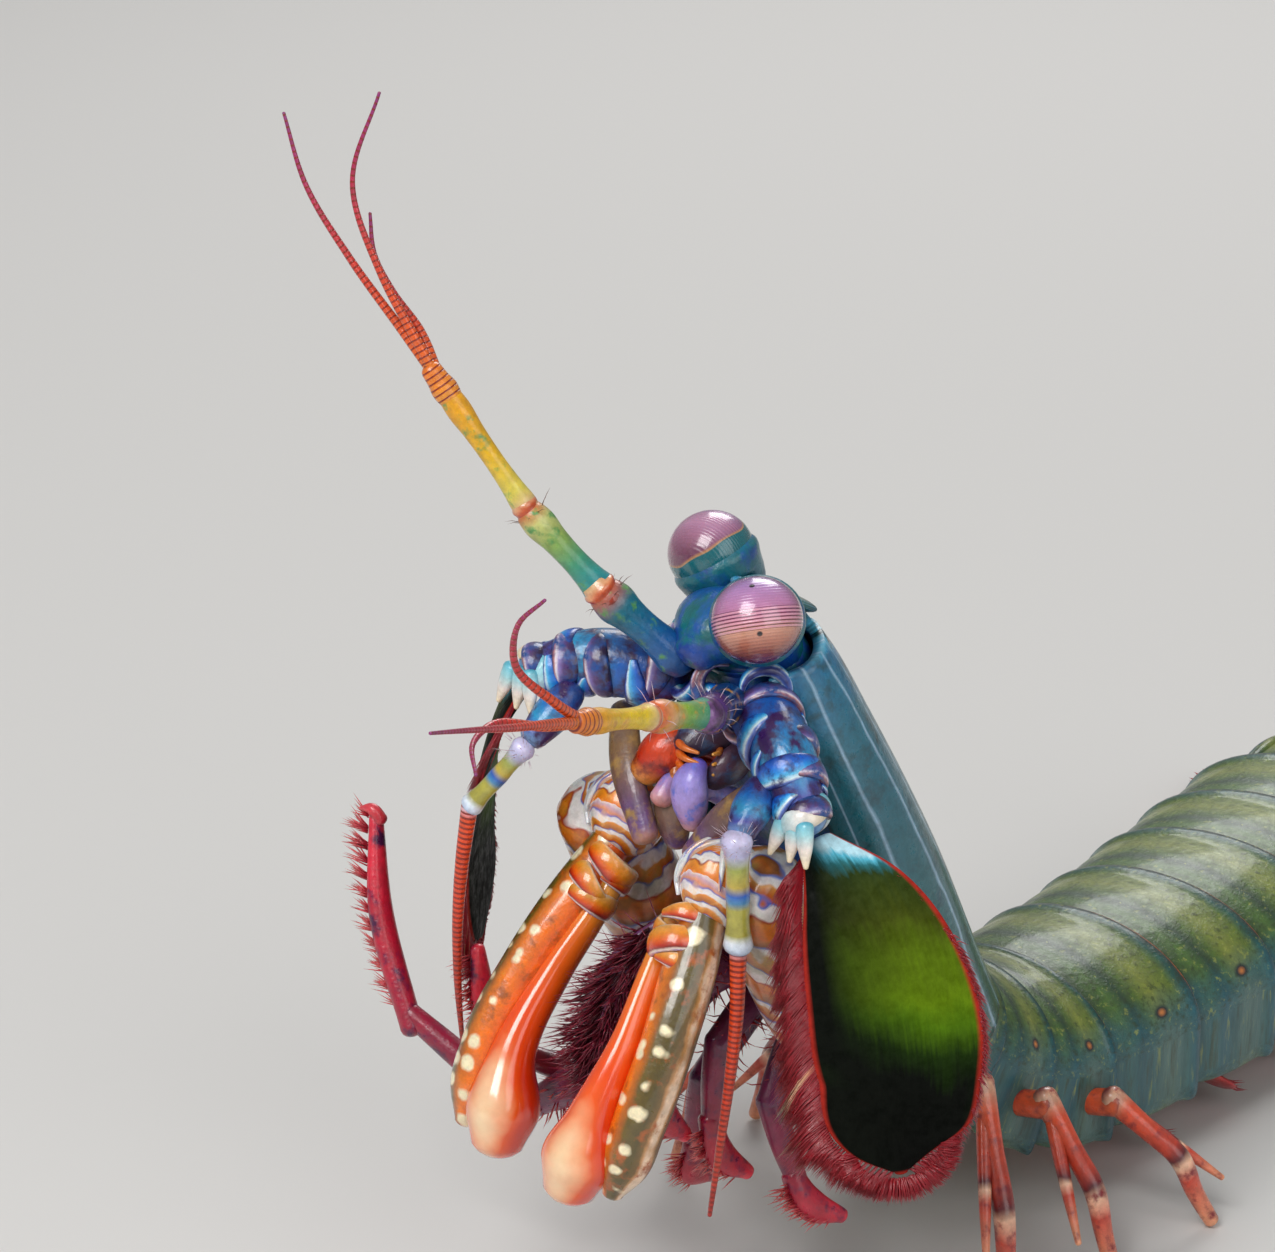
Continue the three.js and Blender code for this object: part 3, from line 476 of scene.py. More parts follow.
def banded(name, stops, centre=None, repeats=1.0, waver=0.3, waver_mm=2.2, mottle=None, **surface):
    """Chitin with crisp bands: round a point of the part, or across it again and again."""
    material, tree, share, lie = blank(name)
    noise = add(tree, "TexNoise", {"Vector": lie, "Scale": 1 / waver_mm, "Detail": 1.5})
    kind = "DISTANCE" if centre else "DOT_PRODUCT"
    run = add(tree, "VectorMath", [share, centre or BAND_WAY], out="Value", operation=kind)
    shift = add(tree, "Math", [noise, 0.5], operation="SUBTRACT")
    run = add(tree, "Math", [shift, waver, run], operation="MULTIPLY_ADD")
    run = add(tree, "Math", [run, repeats], operation="MULTIPLY")
    run = add(tree, "Math", [run], operation="FRACT")
    base = add(tree, "ValToRGB", [run], stops=stops)
    if mottle:
        code, patch_mm, amount = mottle
        patches = add(tree, "TexNoise", {"Vector": lie, "Scale": 1 / patch_mm, "Detail": 3.0})
        mask = add(tree, "MapRange", [patches, 0.54, 0.64, 0.0, amount])
        base = overlay(tree, base, code, mask)
    coat(tree, base, noise, **surface)
    return material


# %% [markdown]
# ## Body line
# The animal's back follows one line: level along the tail, then up through a quarter bend to
# the reared head, with a slight swing of the tail to its right. The rings and the shield are
# lofted on that line, so they follow each other without gaps.

# %% The body line
ABDOMEN_LINE = 11.5  # height of the tail's middle line, mm
BEND_RADIUS = 20
LEAN = math.radians(66)
BEND_LENGTH = BEND_RADIUS * LEAN
SHIELD_ROOT_Y = -19
SWING = math.radians(14)
SWING_END = -46
ABDOMEN_PITCH = 10.4
SHIELD_REAR = 18
SHIELD_FRONT = BEND_LENGTH + 33


def heading(s):
    """The way forward, to the left and up, at a distance along the body line."""
    lean = LEAN * min(max(s / BEND_LENGTH, 0), 1)
    t = min(max((BEND_LENGTH - s) / (BEND_LENGTH - SWING_END), 0), 1)
    swing = SWING * t * t * (3 - 2 * t)
    left = Vector((math.cos(swing), math.sin(swing), 0))
    level = math.cos(lean)
    forward = Vector((level * math.sin(swing), -level * math.cos(swing), math.sin(lean)))
    return forward, left, forward.cross(left)


def body_line(s):
    at = Vector((0, SHIELD_ROOT_Y, ABDOMEN_LINE + BEND_RADIUS * (1 - math.cos(LEAN))))
    strides = max(1, math.ceil(abs(s - BEND_LENGTH)))
    stride = (s - BEND_LENGTH) / strides
    for i in range(strides):
        at = at + heading(BEND_LENGTH + (i + 0.5) * stride)[0] * stride
    return at


def beside(s, left, up):
    way = heading(s)
    return body_line(s) + way[1] * left + way[2] * up


def level_frame(s):
    """Level places beside the body line: out to the left, backwards, height above the floor."""
    left = heading(s)[1]
    back = Vector((-left.y, left.x, 0))
    at = body_line(s)

    def point(place):
        sideways = Vector((at.x, at.y, 0)) + left * place[0]
        return sideways + back * place[1] + Vector((0, 0, place[2]))

    return left, back, point


def arch(across, up):
    """The section of a ring: arched on top, drawn down at the sides, hollow underneath."""
    if up >= 0:
        return across, up
    wide = math.copysign(abs(across) ** 0.4, across)
    return wide, -(0.5 + 0.6 * abs(wide) ** 3) * abs(up) ** 0.2


def trunk(bm, start, end, profiles, **options):
    """A loft on the body line. Each profile is its share of the way, half width and height."""
    rows = [[*body_line(start + (end - start) * share), half, height]
            for share, half, height in profiles]
    loft(bm, rows, side=heading((start + end) / 2)[1], **options)


print("the shield ends at", [round(v, 1) for v in body_line(SHIELD_FRONT)])

# %% [markdown]
# ## Eyes
# Each eye is a ball of thousands of tiny lenses in a blue-green cup. Six rows of larger lenses
# make a band across the middle, seen as fine lines, and the dark spots are the lenses that
# look straight at the viewer. The ball could carry real facets, but at about 0.1 mm they are
# finer than the picture shows, so the rows are drawn on the direction that `share` holds.

# %% Cornea finish
BAND_MIDDLE = -0.06  # of the six bold rows, in half eye heights
BAND_HALF = 0.25
BOLD_ROWS = 6
FINE_ROWS = 90.0  # radians over half the eye, coarser than the real rows so that they show


def cornea(name, upper, lower, dots, bands=1.0, lip=0.0):
    """Lens skin: fine rows above and below, six bold rows across the middle."""
    material, tree, share, lie = blank(name)
    _, up, out = add(tree, "SeparateXYZ", [share], out=None)
    height = add(tree, "MapRange", [up, -1.0, 1.0])
    stops = list(zip((0.0, 0.2, 0.36, 0.5, 0.78, 1.0), (*lower, *upper)))
    base = add(tree, "ValToRGB", [height], stops=stops)
    base = overlay(tree, base, "6b2a4e", add(tree, "MapRange", [out, 0.62, 0.05]))
    fine = add(tree, "Math", [up, FINE_ROWS], operation="MULTIPLY")
    fine = add(tree, "Math", [fine], operation="SINE")
    base = overlay(tree, base, "7a3a52", add(tree, "MapRange", [fine, 0.2, 1.0, 0.0, 0.12]))
    bold = add(tree, "Math", [up, BAND_MIDDLE, BAND_HALF], operation="COMPARE")
    low, high = BAND_MIDDLE - BAND_HALF, BAND_MIDDLE + BAND_HALF
    rows = add(tree, "MapRange", [up, low, high, 0.0, BOLD_ROWS * math.tau])
    rows = add(tree, "Math", [rows], operation="COSINE")
    for begin, full, code in ((0.2, -0.9, "e0a0b4"), (0.35, 0.9, "5a1c34")):  # ridges, grooves
        mask = add(tree, "MapRange", [rows, begin, full, 0.0, bands])
        mask = add(tree, "Math", [mask, bold], operation="MULTIPLY")
        base = overlay(tree, base, code, mask)
    for place in dots:
        way = Vector(place).normalized()
        gap = add(tree, "VectorMath", [share, way], out="Value", operation="DISTANCE")
        base = overlay(tree, base, "1a0a14", add(tree, "MapRange", [gap, 0.075, 0.045]))
    if lip:  # the cup's skin climbs over the ball in a wavy edge
        wave = add(tree, "TexNoise", {"Vector": lie, "Scale": 0.35, "Detail": 0.0})
        edge = add(tree, "Math", [wave, -lip, out], operation="MULTIPLY_ADD")
        base = overlay(tree, base, "c08a5a", add(tree, "MapRange", [edge, 0.08, 0.02]))
        base = overlay(tree, base, "06656e", add(tree, "MapRange", [edge, 0.02, 0.0]))
    coat(tree, base, fine, rough=0.25, gloss=1.0, glow=0.1, depth=0.008, patchy=0.4)
    return material


# %% Eye finishes
CORNEAS = {
    # Lens skin, seen full on: pink above, apricot below, with a wet shine and bold fine lines.
    "left": cornea(
        "eye_lens_skin_left", ("c47a9c", "b884b8", "8f74b4"), ("7a3028", "b8705a", "d89c84"),
        ((0.0, 0.72, 0.7), (0.04, -0.40, 0.92)),
    ),
    # The far eye looks away, so its band is faint, and the teal lip of its cup shows.
    "right": cornea(
        "eye_lens_skin_right", ("b884a6", "b07fb2", "7c5c96"), ("6a3a50", "a06a86", "b884a6"), (),
        bands=0.12, lip=0.42,
    ),
}
# The cup's chitin gives a smooth dark petrol with a brighter blue rim round the ball.
EYE_CUP = chitin(
    "eye_cup_petrol_chitin",
    [(0.0, "0c2f6c"), (0.35, "0a5f78"), (0.7, "066a74"), (0.88, "0a6fa0"), (0.95, "1e86c8"),
     (1.0, "3aa0e8")],
    mottle=("0a4f98", 2.2, 0.5),
)

# %% Eye balls and cups
EYES = {  # centre, root of the stalk, way it looks, way along its band
    "left": ((4.8, -36, 57), (1.9, -34, 54.4), (0.62, -0.66, 0.42), (0.62, 0.78, 0.10)),
    "right": ((-4.6, -31.5, 58.7), (-2.2, -32.6, 54.4), (-0.4, -0.3, 0.86), (0.9, 0.1, 0.45)),
}
EYE_HALVES = (3.32, 3.16, 3.1)
CUP_HALVES = [1.5, 1.9, (2.9, 2.8), (3.34, 3.22), (3.46, 3.3), (3.3, 3.14)]

for flank, places in EYES.items():
    centre, root, look, band = (Vector(place) for place in places)
    look.normalize()
    band = (band - look * band.dot(look)).normalized()
    turn = Matrix((band, look.cross(band), look)).transposed()
    bm = new_bmesh()
    bead(bm, centre, EYE_HALVES, (64, 48), turn)
    piece(bm, f"eye_{flank}_cornea", f"eye_{flank}", "eye", CORNEAS[flank])
    bm = new_bmesh()
    back, *rim = (centre - look * depth for depth in (2.6, 1.5, 0.55, 0.25))
    limb(bm, [root, root.lerp(back, 0.5), back, *rim], CUP_HALVES, side=band, sides=48, pitch=0.25)
    piece(bm, f"eye_{flank}_cup", f"eyestalk_{flank}", "shell_teal", EYE_CUP)
print("eyes made")

# %% [markdown]
# ## Antennules
# The first pair of feelers has a stalk of three lengths, blue, then green, then golden, with
# an orange ring at each joint, and three thin whips of many small rings. The colours change
# along the stalk, so one finish is painted by the place along it.

# %% Antennule finishes
STALK_FINISHES = {
    # Thin chitin, lit through: a dark violet root, then green, then clear yellow.
    "left": chitin(
        "antennule_near_stalk_chitin",
        [(0.0, "103a70"), (0.2, "0c3c74"), (0.30, "4a2470"), (0.36, "5a2a7a"), (0.40, "1c8a80"),
         (0.52, "8ab83a"), (0.60, "e8b070"), (0.665, "e84a10"), (0.70, "f0c0a0"),
         (0.76, "f0d020"), (0.9, "f4c80a"), (1.0, "f09a20")],
        waver=0.03, mottle=("e0a030", 1.2, 0.25),
    ),
    # The far stalk runs from deep blue through sea green to gold, with orange at its joints.
    "right": chitin(
        "antennule_stalk_chitin",
        [(0.0, "12407c"), (0.12, "0c5c9c"), (0.26, "0c7488"), (0.33, "c8541c"), (0.36, "58a070"),
         (0.40, "1c8a94"), (0.48, "3c9470"), (0.55, "86a850"), (0.62, "c9c87a"),
         (0.665, "d8481a"), (0.70, "e8b48c"), (0.74, "d8c850"), (0.84, "e0b010"),
         (1.0, "eca008")],
        waver=0.03, mottle=("5a9a50", 1.4, 0.2),
    ),
}
# A whip's many small rings give it a fine dark ladder over orange that turns to wine.
FLAGELLUM = chitin(
    "feeler_whip_chitin",
    [(0.0, "f0a030"), (0.12, "e8641c"), (0.4, "d8401c"), (0.7, "b02848"), (1.0, "8a2a70")],
    waver=0.05, rings=("8a2818", 0.45, 0.35), depth=0.05,
)
# The soft skin of a joint is wetter than the shell: a glossy swirl of rust and cream.
JOINT_RING = chitin(
    "feeler_joint_membrane",
    [(0.0, "b8541c"), (0.2, "d8480c"), (0.4, "6a1206"), (0.52, "a83008"), (0.66, "d8541c"),
     (0.85, "e8b080"), (1.0, "c8b060")],
    waver=0.25, waver_mm=0.9, gloss=0.8,
)
# The near feeler's first joint has the same wet skin in dark violet.
VIOLET_RING = chitin(
    "feeler_joint_violet_membrane",
    [(0.0, "2a1a4a"), (0.3, "4a1c50"), (0.5, "2a0c2c"), (0.66, "6a3a80"), (0.8, "381840"),
     (0.92, "7a4a8a"), (1.0, "1c5a60")],
    waver=0.4, waver_mm=0.9, gloss=0.8,
)
# Fine setae read as thin brown strokes, and pale ones as bright threads where light catches.
HAIR = chitin("fine_seta_chitin", [(0.0, "4a2a20"), (1.0, "8a5a48")], glow=0.0)
PALE_HAIR = chitin("pale_seta_chitin", [(0.0, "e8b8c8"), (1.0, "f8e8f0")], glow=0.3)

# %% Antennule measures
ANTENNULES = {  # joints of the stalk, then the points of three whips
    "left": (
        [(3.4, -37.6, 50.6), (7.4, -43.1, 52.4), (9.0, -50.0, 54.5), (11.6, -58.3, 57.1)],
        [(13.6, -63.6, 58.9), (15.8, -69.1, 60.7), (18.0, -74.4, 62.6), (20.2, -79.5, 64.4)],
        [(12.6, -62.4, 59.8), (12.1, -65.4, 63.1), (13.0, -65.9, 66.2), (15.2, -65.5, 68.4)],
        [(12.4, -63.0, 58.2), (12.4, -67.6, 59.6), (13.8, -70.6, 59.4), (16.4, -72.6, 58.6)],
    ),
    "right": (
        [(-2.0, -37.0, 52.4), (-5.0, -41.5, 57.6), (-9.1, -45.1, 63.6), (-14.2, -48.3, 72.0)],
        [(-17.8, -49.6, 76.4), (-22.0, -50.9, 81.2), (-25.6, -51.9, 86.2), (-27.4, -52.2, 91.0)],
        [(-16.7, -49.8, 76.8), (-18.7, -50.8, 80.8), (-20.8, -51.4, 87.0), (-19.9, -49.5, 93.3)],
        [(-17.2, -48.4, 76.2), (-19.4, -49.2, 79.0), (-21.0, -49.4, 81.4), (-21.6, -49.2, 84.2)],
    ),
}
FEELER_SIDE = (0, 1, 1)
STALK_HALVES = [(1.6, 1.5), (1.25, 1.2), (0.95, 0.95)]
STALK_SWELL = [(0.0, 0.92), (0.1, 1.02), (0.2, 0.9), (0.7, 0.82), (0.9, 0.98), (1.0, 0.9)]
RING_SWELL = [(-1.1, 0.92), (-0.8, 1.04), (-0.2, 1.1), (0.4, 0.98), (0.9, 1.08), (1.2, 0.92)]


def joint_ring(bm, joints, i, violet):
    """The swollen ring at a joint of the stalk, with hairs that stand out round it."""
    way = (joints[i + 1] - joints[i - 1]).normalized()
    half = STALK_HALVES[i][0]
    limb(
        bm, [joints[i] + way * d for d, _ in RING_SWELL], [half * swell for _, swell in RING_SWELL],
        side=FEELER_SIDE, pitch=0.15, finish=3 if violet else 1,
    )
    hairs = []
    for k in range(18 if violet else 8):
        angle = k * 2.4
        out = Vector((math.cos(angle), math.sin(angle) * 0.5, math.sin(angle)))
        out = (out - way * out.dot(way)).normalized()
        root = joints[i] + out * half
        tip = root + out * random.uniform(0.7, 1.6) + way * random.uniform(-0.3, 0.9)
        hairs.append((root, tip, (0, 0, 0.1)))
    bristles(bm, hairs, 0.035, finish=2)


# %% Antennules
for flank, (joints, *whips) in ANTENNULES.items():
    joints = [Vector(joint) for joint in joints]
    bm = new_bmesh()
    for i, (wide, high) in enumerate(STALK_HALVES):
        a, b = joints[i], joints[i + 1]
        rows = [[*a.lerp(b, t), wide * swell, high * swell] for t, swell in STALK_SWELL]
        loft(bm, rows, side=FEELER_SIDE, span=(i / 3, (i + 1) / 3))
    near = flank == "left"
    for i in (1, 2):
        joint_ring(bm, joints, i, violet=near and i == 1)
    piece(
        bm, f"antennule_{flank}_stalk", f"antennule_{flank}", "feeler",
        STALK_FINISHES[flank], JOINT_RING, PALE_HAIR if near else HAIR, VIOLET_RING,
    )
    bm = new_bmesh()
    end, inward = joints[3], joints[2].lerp(joints[3], 0.9)
    collar = [inward.lerp(end, t) for t in (0.9, 1.6, 2.4, 3.2)]
    collar_halves = [0.9, (1.0, 0.96), (0.84, 0.8), (0.78, 0.7)]
    limb(bm, collar, collar_halves, side=FEELER_SIDE, sides=24, span=(0, 0.1))
    for points in whips:
        halves = [0.42 - 0.075 * i for i in range(len(points) + 1)]
        limb(bm, [inward.lerp(end, 2), *points], halves, side=FEELER_SIDE, sides=10, pitch=0.5)
    piece(bm, f"antennule_{flank}_flagella", f"antennule_{flank}_whips", "whip", FLAGELLUM)
print("antennules made")

# %% [markdown]
# ## Antennae
# The second pair of feelers has a heavy blue base with folded plates, a two-part stalk, pale
# at its joints, and one orange whip that hangs down. Beside it grows the scale, the big oval
# paddle with a red fringe. The paddle is a flat tube, thick in the middle and thin at its
# edge, and the fringe is made hair by hair on its margin.

# %% Antenna finishes
# The base's shell is deep cobalt with dark plum patches under a waxy shine.
BASE_FINISH = chitin(
    "antenna_base_cobalt_chitin",
    [(0.0, "12387c"), (0.35, "1860b8"), (0.6, "2894c4"), (0.8, "4444a0"), (1.0, "86b8e0")],
    waver=0.5, waver_mm=2.0, mottle=("341650", 2.0, 0.6),
)
FOLD = {"axis": 0, "waver": 0.35, "waver_mm": 1.2, "gloss": 0.5, "glow": 0.2}
# A folded plate catches the light on its crest, so one side is bright and its rim nearly white.
PLATE_COBALT = chitin(
    "antenna_plate_cobalt_chitin",
    [(0.0, "0c3488"), (0.3, "1464cc"), (0.55, "2494e4"), (0.72, "60c4f0"), (0.84, "e8f8fc"),
     (0.92, "5a78c8"), (1.0, "20206a")],
    mottle=("1c1a60", 1.3, 0.35), **FOLD,
)
# The violet plates are darker, with a pink-white rim that outlines each fold.
PLATE_VIOLET = chitin(
    "antenna_plate_violet_chitin",
    [(0.0, "1c0c30"), (0.4, "3a2050"), (0.62, "5a3a78"), (0.78, "8a7ab8"), (0.87, "f4e4ec"),
     (0.93, "b87a80"), (1.0, "2a1440")],
    mottle=("1c4a90", 1.2, 0.5), **FOLD,
)
# The stalk's shell is half clear: honey yellow with one blue band and milky joints.
STALK_LOWER = chitin(
    "peduncle_amber_chitin",
    [(0.0, "d8d0f0"), (0.16, "c8c8f0"), (0.28, "a8b050"), (0.42, "c8b040"), (0.5, "2060c0"),
     (0.56, "4a90c0"), (0.62, "b8b04a"), (0.82, "a8a040"), (0.88, "e8f0f8"), (1.0, "b0c8f0")],
    waver=0.04, gloss=0.8,
)
# The hanging whip is ringed like a cable, coral red with darker grooves.
HANGING_WHIP = chitin(
    "hanging_whip_chitin",
    [(0.0, "e8d8e8"), (0.06, "f05018"), (0.5, "dc3c12"), (1.0, "a8281c")],
    waver=0.03, rings=("a02410", 0.42, 0.45), depth=0.08,
)
SETAE = {"waver": 0.2, "glow": 0.3, "gloss": 0.1}
# Massed setae scatter light like felt: a soft crimson edge, with a few cream tufts.
FRINGE = chitin(
    "scale_fringe_setae", [(0.0, "a01420"), (0.5, "9a0c1e"), (1.0, "c83038")], **SETAE
)
CREAM_FRINGE = chitin(
    "scale_cream_setae", [(0.0, "c02838"), (0.35, "e8a070"), (1.0, "f4e4b8")], **SETAE
)
# The prongs bleach from ice blue to cream, so they stand out against the dark plates.
PRONG = chitin(
    "pale_prong_chitin", [(0.0, "4ab0c8"), (0.3, "a8e0e8"), (0.6, "f4e8e0"), (1.0, "f0d8b0")]
)


# %% Scale finish
def blade_finish(name):
    """Matt chitin that drinks light: olive rays over black, a blue root paled to white at the top
    by a painted sheen, and a red margin.
    """
    material, tree, share, lie = blank(name)
    across, _, along = add(tree, "SeparateXYZ", [share], out=None)
    streaks = add(tree, "VectorMath", [lie, (1.8, 0.0, 0.12)], operation="MULTIPLY")
    rays = add(tree, "TexNoise", {"Vector": streaks, "Scale": 1.6, "Detail": 4.0})
    cloud = add(tree, "TexNoise", {"Vector": lie, "Scale": 0.12, "Detail": 2.0})
    run = along
    for noise, amount in ((rays, 0.10), (cloud, 0.35)):
        shift = add(tree, "Math", [noise, 0.5], operation="SUBTRACT")
        run = add(tree, "Math", [shift, amount, run], operation="MULTIPLY_ADD")
    run = add(tree, "Math", [across, -0.10, run], operation="MULTIPLY_ADD")
    # The first stops are the blue root, and its near-white top is a painted sheen of the lamps.
    base = add(tree, "ValToRGB", [run], stops=[
        (0.0, "b8e0ec"), (0.035, "5ab8d0"), (0.07, "2a6a70"), (0.12, "2a3a12"), (0.26, "3e4808"),
        (0.43, "5e7c06"), (0.52, "4a6e06"), (0.61, "1a3004"), (0.7, "030602"), (1.0, "010100"),
    ])
    base = overlay(tree, base, "060a04", add(tree, "MapRange", [across, 0.3, -0.72]))
    base = overlay(tree, base, "142a08", add(tree, "MapRange", [cloud, 0.6, 0.75, 0.0, 0.4]))
    size = add(tree, "Math", [across], operation="ABSOLUTE")
    margin = add(tree, "MapRange", [size, 0.91, 0.96])
    tip = add(tree, "MapRange", [along, 0.985, 0.995])
    margin = add(tree, "Math", [margin, tip], operation="MAXIMUM")
    base = overlay(tree, base, "a82a20", margin)
    coat(tree, base, rays, rough=0.65, gloss=0.0, glow=0.0, depth=0.08, shine=0.08)
    return material


BLADE = blade_finish("scale_olive_chitin")

# %% Antenna measures
ANTENNAE = {
    "left": {
        "base": [(5.0, -35.4, 49.6), (9.6, -37.6, 47.8), (12.6, -38.6, 44.6)],
        "stalk": [
            (9.0, -39.6, 46.2), (10.0, -42.4, 44.2), (10.0, -42.8, 39.8), (10.0, -42.7, 35.4),
        ],
        "whip": [(10.2, -43.0, 30.0), (9.9, -43.4, 24.5), (9.5, -44.0, 19.0), (9.0, -44.4, 14.0)],
        "scale": [(13.3, -38.1, 42.9), (16.8, -37.8, 39.3), (19.7, -37.5, 33.8),
                  (21.2, -37.5, 27.5), (21.2, -37.6, 21.6)],
    },
    "right": {
        "base": [(-5.0, -35.6, 50.4), (-9.6, -39.4, 50.8), (-12.6, -42.0, 50.0)],
        "stalk": [
            (-9.0, -41.6, 49.0), (-9.4, -44.8, 46.4), (-11.2, -46.4, 43.4), (-13.0, -47.8, 40.7),
        ],
        "whip": [
            (-13.8, -48.2, 35.6), (-14.4, -48.2, 30.4), (-14.9, -47.8, 25.2), (-15.2, -47.2, 20.4),
        ],
        "scale": [(-13.4, -42.3, 48.6), (-16.6, -41.8, 44.8), (-19.2, -41.2, 39.0),
                  (-20.8, -40.4, 32.6), (-21.2, -40.0, 26.6)],
    },
}
STALK_SLIM = {"left": 1.0, "right": 0.8}
PEDUNCLE_HALVES = [(1.2, 1.15), (0.95, 0.9), (0.85, 0.8), (0.9, 0.85), (0.9, 0.85), (1.15, 1.05)]
SCALE_HALVES = [(1.3, 0.6), (4.2, 0.55), (5.9, 0.5), (5.9, 0.5), (3.4, 0.42), (0.5, 0.3)]
FRINGE_HAIRS = 2600
COLLARS = [  # place along the base, slant, first angle, half width, finish
    (0.06, 0.3, 0.4, 1.2, 3), (0.16, -0.2, 2.6, 1.1, 2), (0.28, 0.25, 4.6, 1.3, 2),
    (0.38, -0.3, 1.2, 1.0, 3), (0.48, 0.2, 3.4, 1.2, 2), (0.58, -0.25, 5.4, 1.1, 2),
    (0.68, 0.3, 0.6, 1.2, 3), (0.78, -0.1, 2.4, 1.0, 2), (0.88, 0.35, 4.2, 1.0, 2),
    (0.97, 0.1, 0.2, 0.9, 3), (0.92, 0.5, 2.0, 0.8, 1), (0.99, -0.4, 5.0, 0.9, 1),
]


# %% Fringe of the scale
def scale_fringe(bm, line, across):
    """Hairs on the margin of the paddle: short outside, longer round the tip, long and
    gathered in tufts inside, where a few tufts are cream."""
    rows = smooth_line(line, 0.2)
    ways = np.gradient(rows[:, :3], axis=0)
    hairs = {1: [], 2: []}
    tip_way = Vector(ways[-8]).normalized()
    for _ in range(FRINGE_HAIRS // 4):
        angle = random.uniform(-1.65, 1.65)
        reach = across * math.sin(angle) * 3.3 + tip_way * math.cos(angle) * 2.5
        jitter = Vector([random.gauss(0, 0.08) for _ in range(3)])
        root = Vector(line[4][:3]) + reach * 0.92 + jitter
        tip = root + reach.normalized() * random.uniform(1.5, 1.9)
        hairs[1].append((root, tip, tip_way * 0.1))
    for i in range(FRINGE_HAIRS):
        outer = i % 3 == 0
        t = 1 - abs(random.gauss(0, 0.05)) if i % 5 == 1 else random.uniform(0.03, 0.995)
        station = int(t * (len(rows) - 1))
        row, way = rows[station], Vector(ways[station]).normalized()
        out = across if outer else -across
        tuft = 0.5 + 0.5 * math.sin(t * 60 + 1.5 * math.sin(t * 23))
        tip_share = max(0, t - 0.78) / 0.22
        if outer:
            length = random.uniform(0.8, 1.1) + 0.7 * tip_share
        else:
            length = (random.uniform(2.8, 4.0) + 1.4 * tuft) * (1 - 0.5 * tip_share)
        root = Vector(row[:3]) + out * (row[3] - 0.35)
        lean = (out + way * (0.75 + 0.35 * tuft + random.uniform(-0.12, 0.12))).normalized()
        jitter = Vector([random.gauss(0, 0.14) for _ in range(3)])
        cream = not outer and 0.62 < t < 0.86 and tuft > 0.9 and random.random() < 0.4
        hairs[2 if cream else 1].append((root, root + lean * length + jitter, way * -0.25))
    for finish, tufts in hairs.items():
        bristles(bm, tufts, 0.1, finish=finish)


# %% Antenna bases and stalks
def antenna_base(bm, base, stalk):
    """A thick bent root and the stalk's foot, wrapped in folded plates, with three prongs."""
    limb(bm, base, [2.5, (2.4, 2.2), 1.5], side=(0, 0, 1), pitch=0.4)
    foot = [stalk[0], between(stalk[0], stalk[1], 0.5), stalk[1]]
    limb(bm, foot, [1.2, (1.5, 1.4), 1.1], sides=24)
    for t, slant, begin, wide, finish in COLLARS:
        ends = base[:2] if t < 0.5 else base[1:]
        axis = (Vector(ends[1]) - Vector(ends[0])).normalized()
        tilt = axis + Vector((0.2, -0.3, 0.9)) * slant
        radius = 2.5 - 0.9 * t * t
        crescent(bm, between(*ends, 2 * t % 1), tilt, radius, begin, 3.4, (wide, 0.42), finish)
    for lean in (-0.9, 0.2, 1.1):
        root = Vector(base[2]) + Vector((lean, -1.3, 0.2))
        tip = root + Vector((lean * 0.8, -0.7, -2.6))
        prong = [root, between(root, tip, 0.5), tip]
        limb(bm, prong, [(0.75, 0.6), (0.6, 0.5), 0.2], sides=16, pitch=0.2, finish=1)


def peduncle(bm, stalk, slim):
    """The stalk's two outer lengths, with pale hairs round its top."""
    top, bend, end = between(stalk[0], stalk[1], 1.3), stalk[2], stalk[3]
    points = [top, between(top, bend, 0.3), between(top, bend, 0.8), bend,
              between(bend, end, 0.7), end]
    limb(bm, points, [(wide * slim, high * slim) for wide, high in PEDUNCLE_HALVES], sides=28)
    hairs = []
    for _ in range(46):
        out = Vector([random.gauss(0, 1) for _ in range(3)]).normalized()
        root = top + out * 1.1
        tip = root + (out + Vector((0, -0.3, 0.4))) * random.uniform(0.5, 1.1)
        hairs.append((root, tip, (0, 0, 0)))
    bristles(bm, hairs, 0.03, finish=1)


# %% Antennae
for flank, way in FLANKS.items():
    base, stalk, whip, scale = ANTENNAE[flank].values()
    bm = new_bmesh()
    antenna_base(bm, base, stalk)
    piece(
        bm, f"antenna_{flank}_protopod", f"antenna_{flank}_base", "shell_blue",
        BASE_FINISH, PRONG, PLATE_COBALT, PLATE_VIOLET,
    )
    bm = new_bmesh()
    peduncle(bm, stalk, STALK_SLIM[flank])
    piece(
        bm, f"antenna_{flank}_peduncle", f"antenna_{flank}_stalk", "peduncle",
        STALK_LOWER, PALE_HAIR,
    )
    bm = new_bmesh()
    halves = [(0.66 - 0.12 * i, 0.62 - 0.115 * i) for i in range(5)]
    limb(bm, [between(stalk[2], stalk[3], 1.08), *whip], halves, sides=14, pitch=0.25)
    piece(bm, f"antenna_{flank}_flagellum", f"antenna_{flank}_whip", "whip", HANGING_WHIP)
    bm = new_bmesh()
    along = (Vector(scale[4]) - Vector(scale[1])).normalized()
    across = Vector((way * 0.687, -0.641, 0.342)).cross(along).normalized()
    if across.x * way < 0:
        across = -across
    line = rows_of([*scale, Vector(scale[4]) + along * 1.7], SCALE_HALVES)
    loft(bm, line, side=across, sides=48)
    scale_fringe(bm, line, across)
    piece(
        bm, f"antenna_{flank}_paddle", f"antenna_{flank}_scale", "scale",
        BLADE, FRINGE, CREAM_FRINGE,
    )
print("antennae made")

# %% [markdown]
# ## Head, mouth and shield
# The head is a small deep-blue block between the eyes and feelers. Behind it the shield lies
# over the body like a saddle, thin and half clear, with side wings that stand off. A thin
# shell is made as an open arch, and Solidify gives its wall a real thickness.

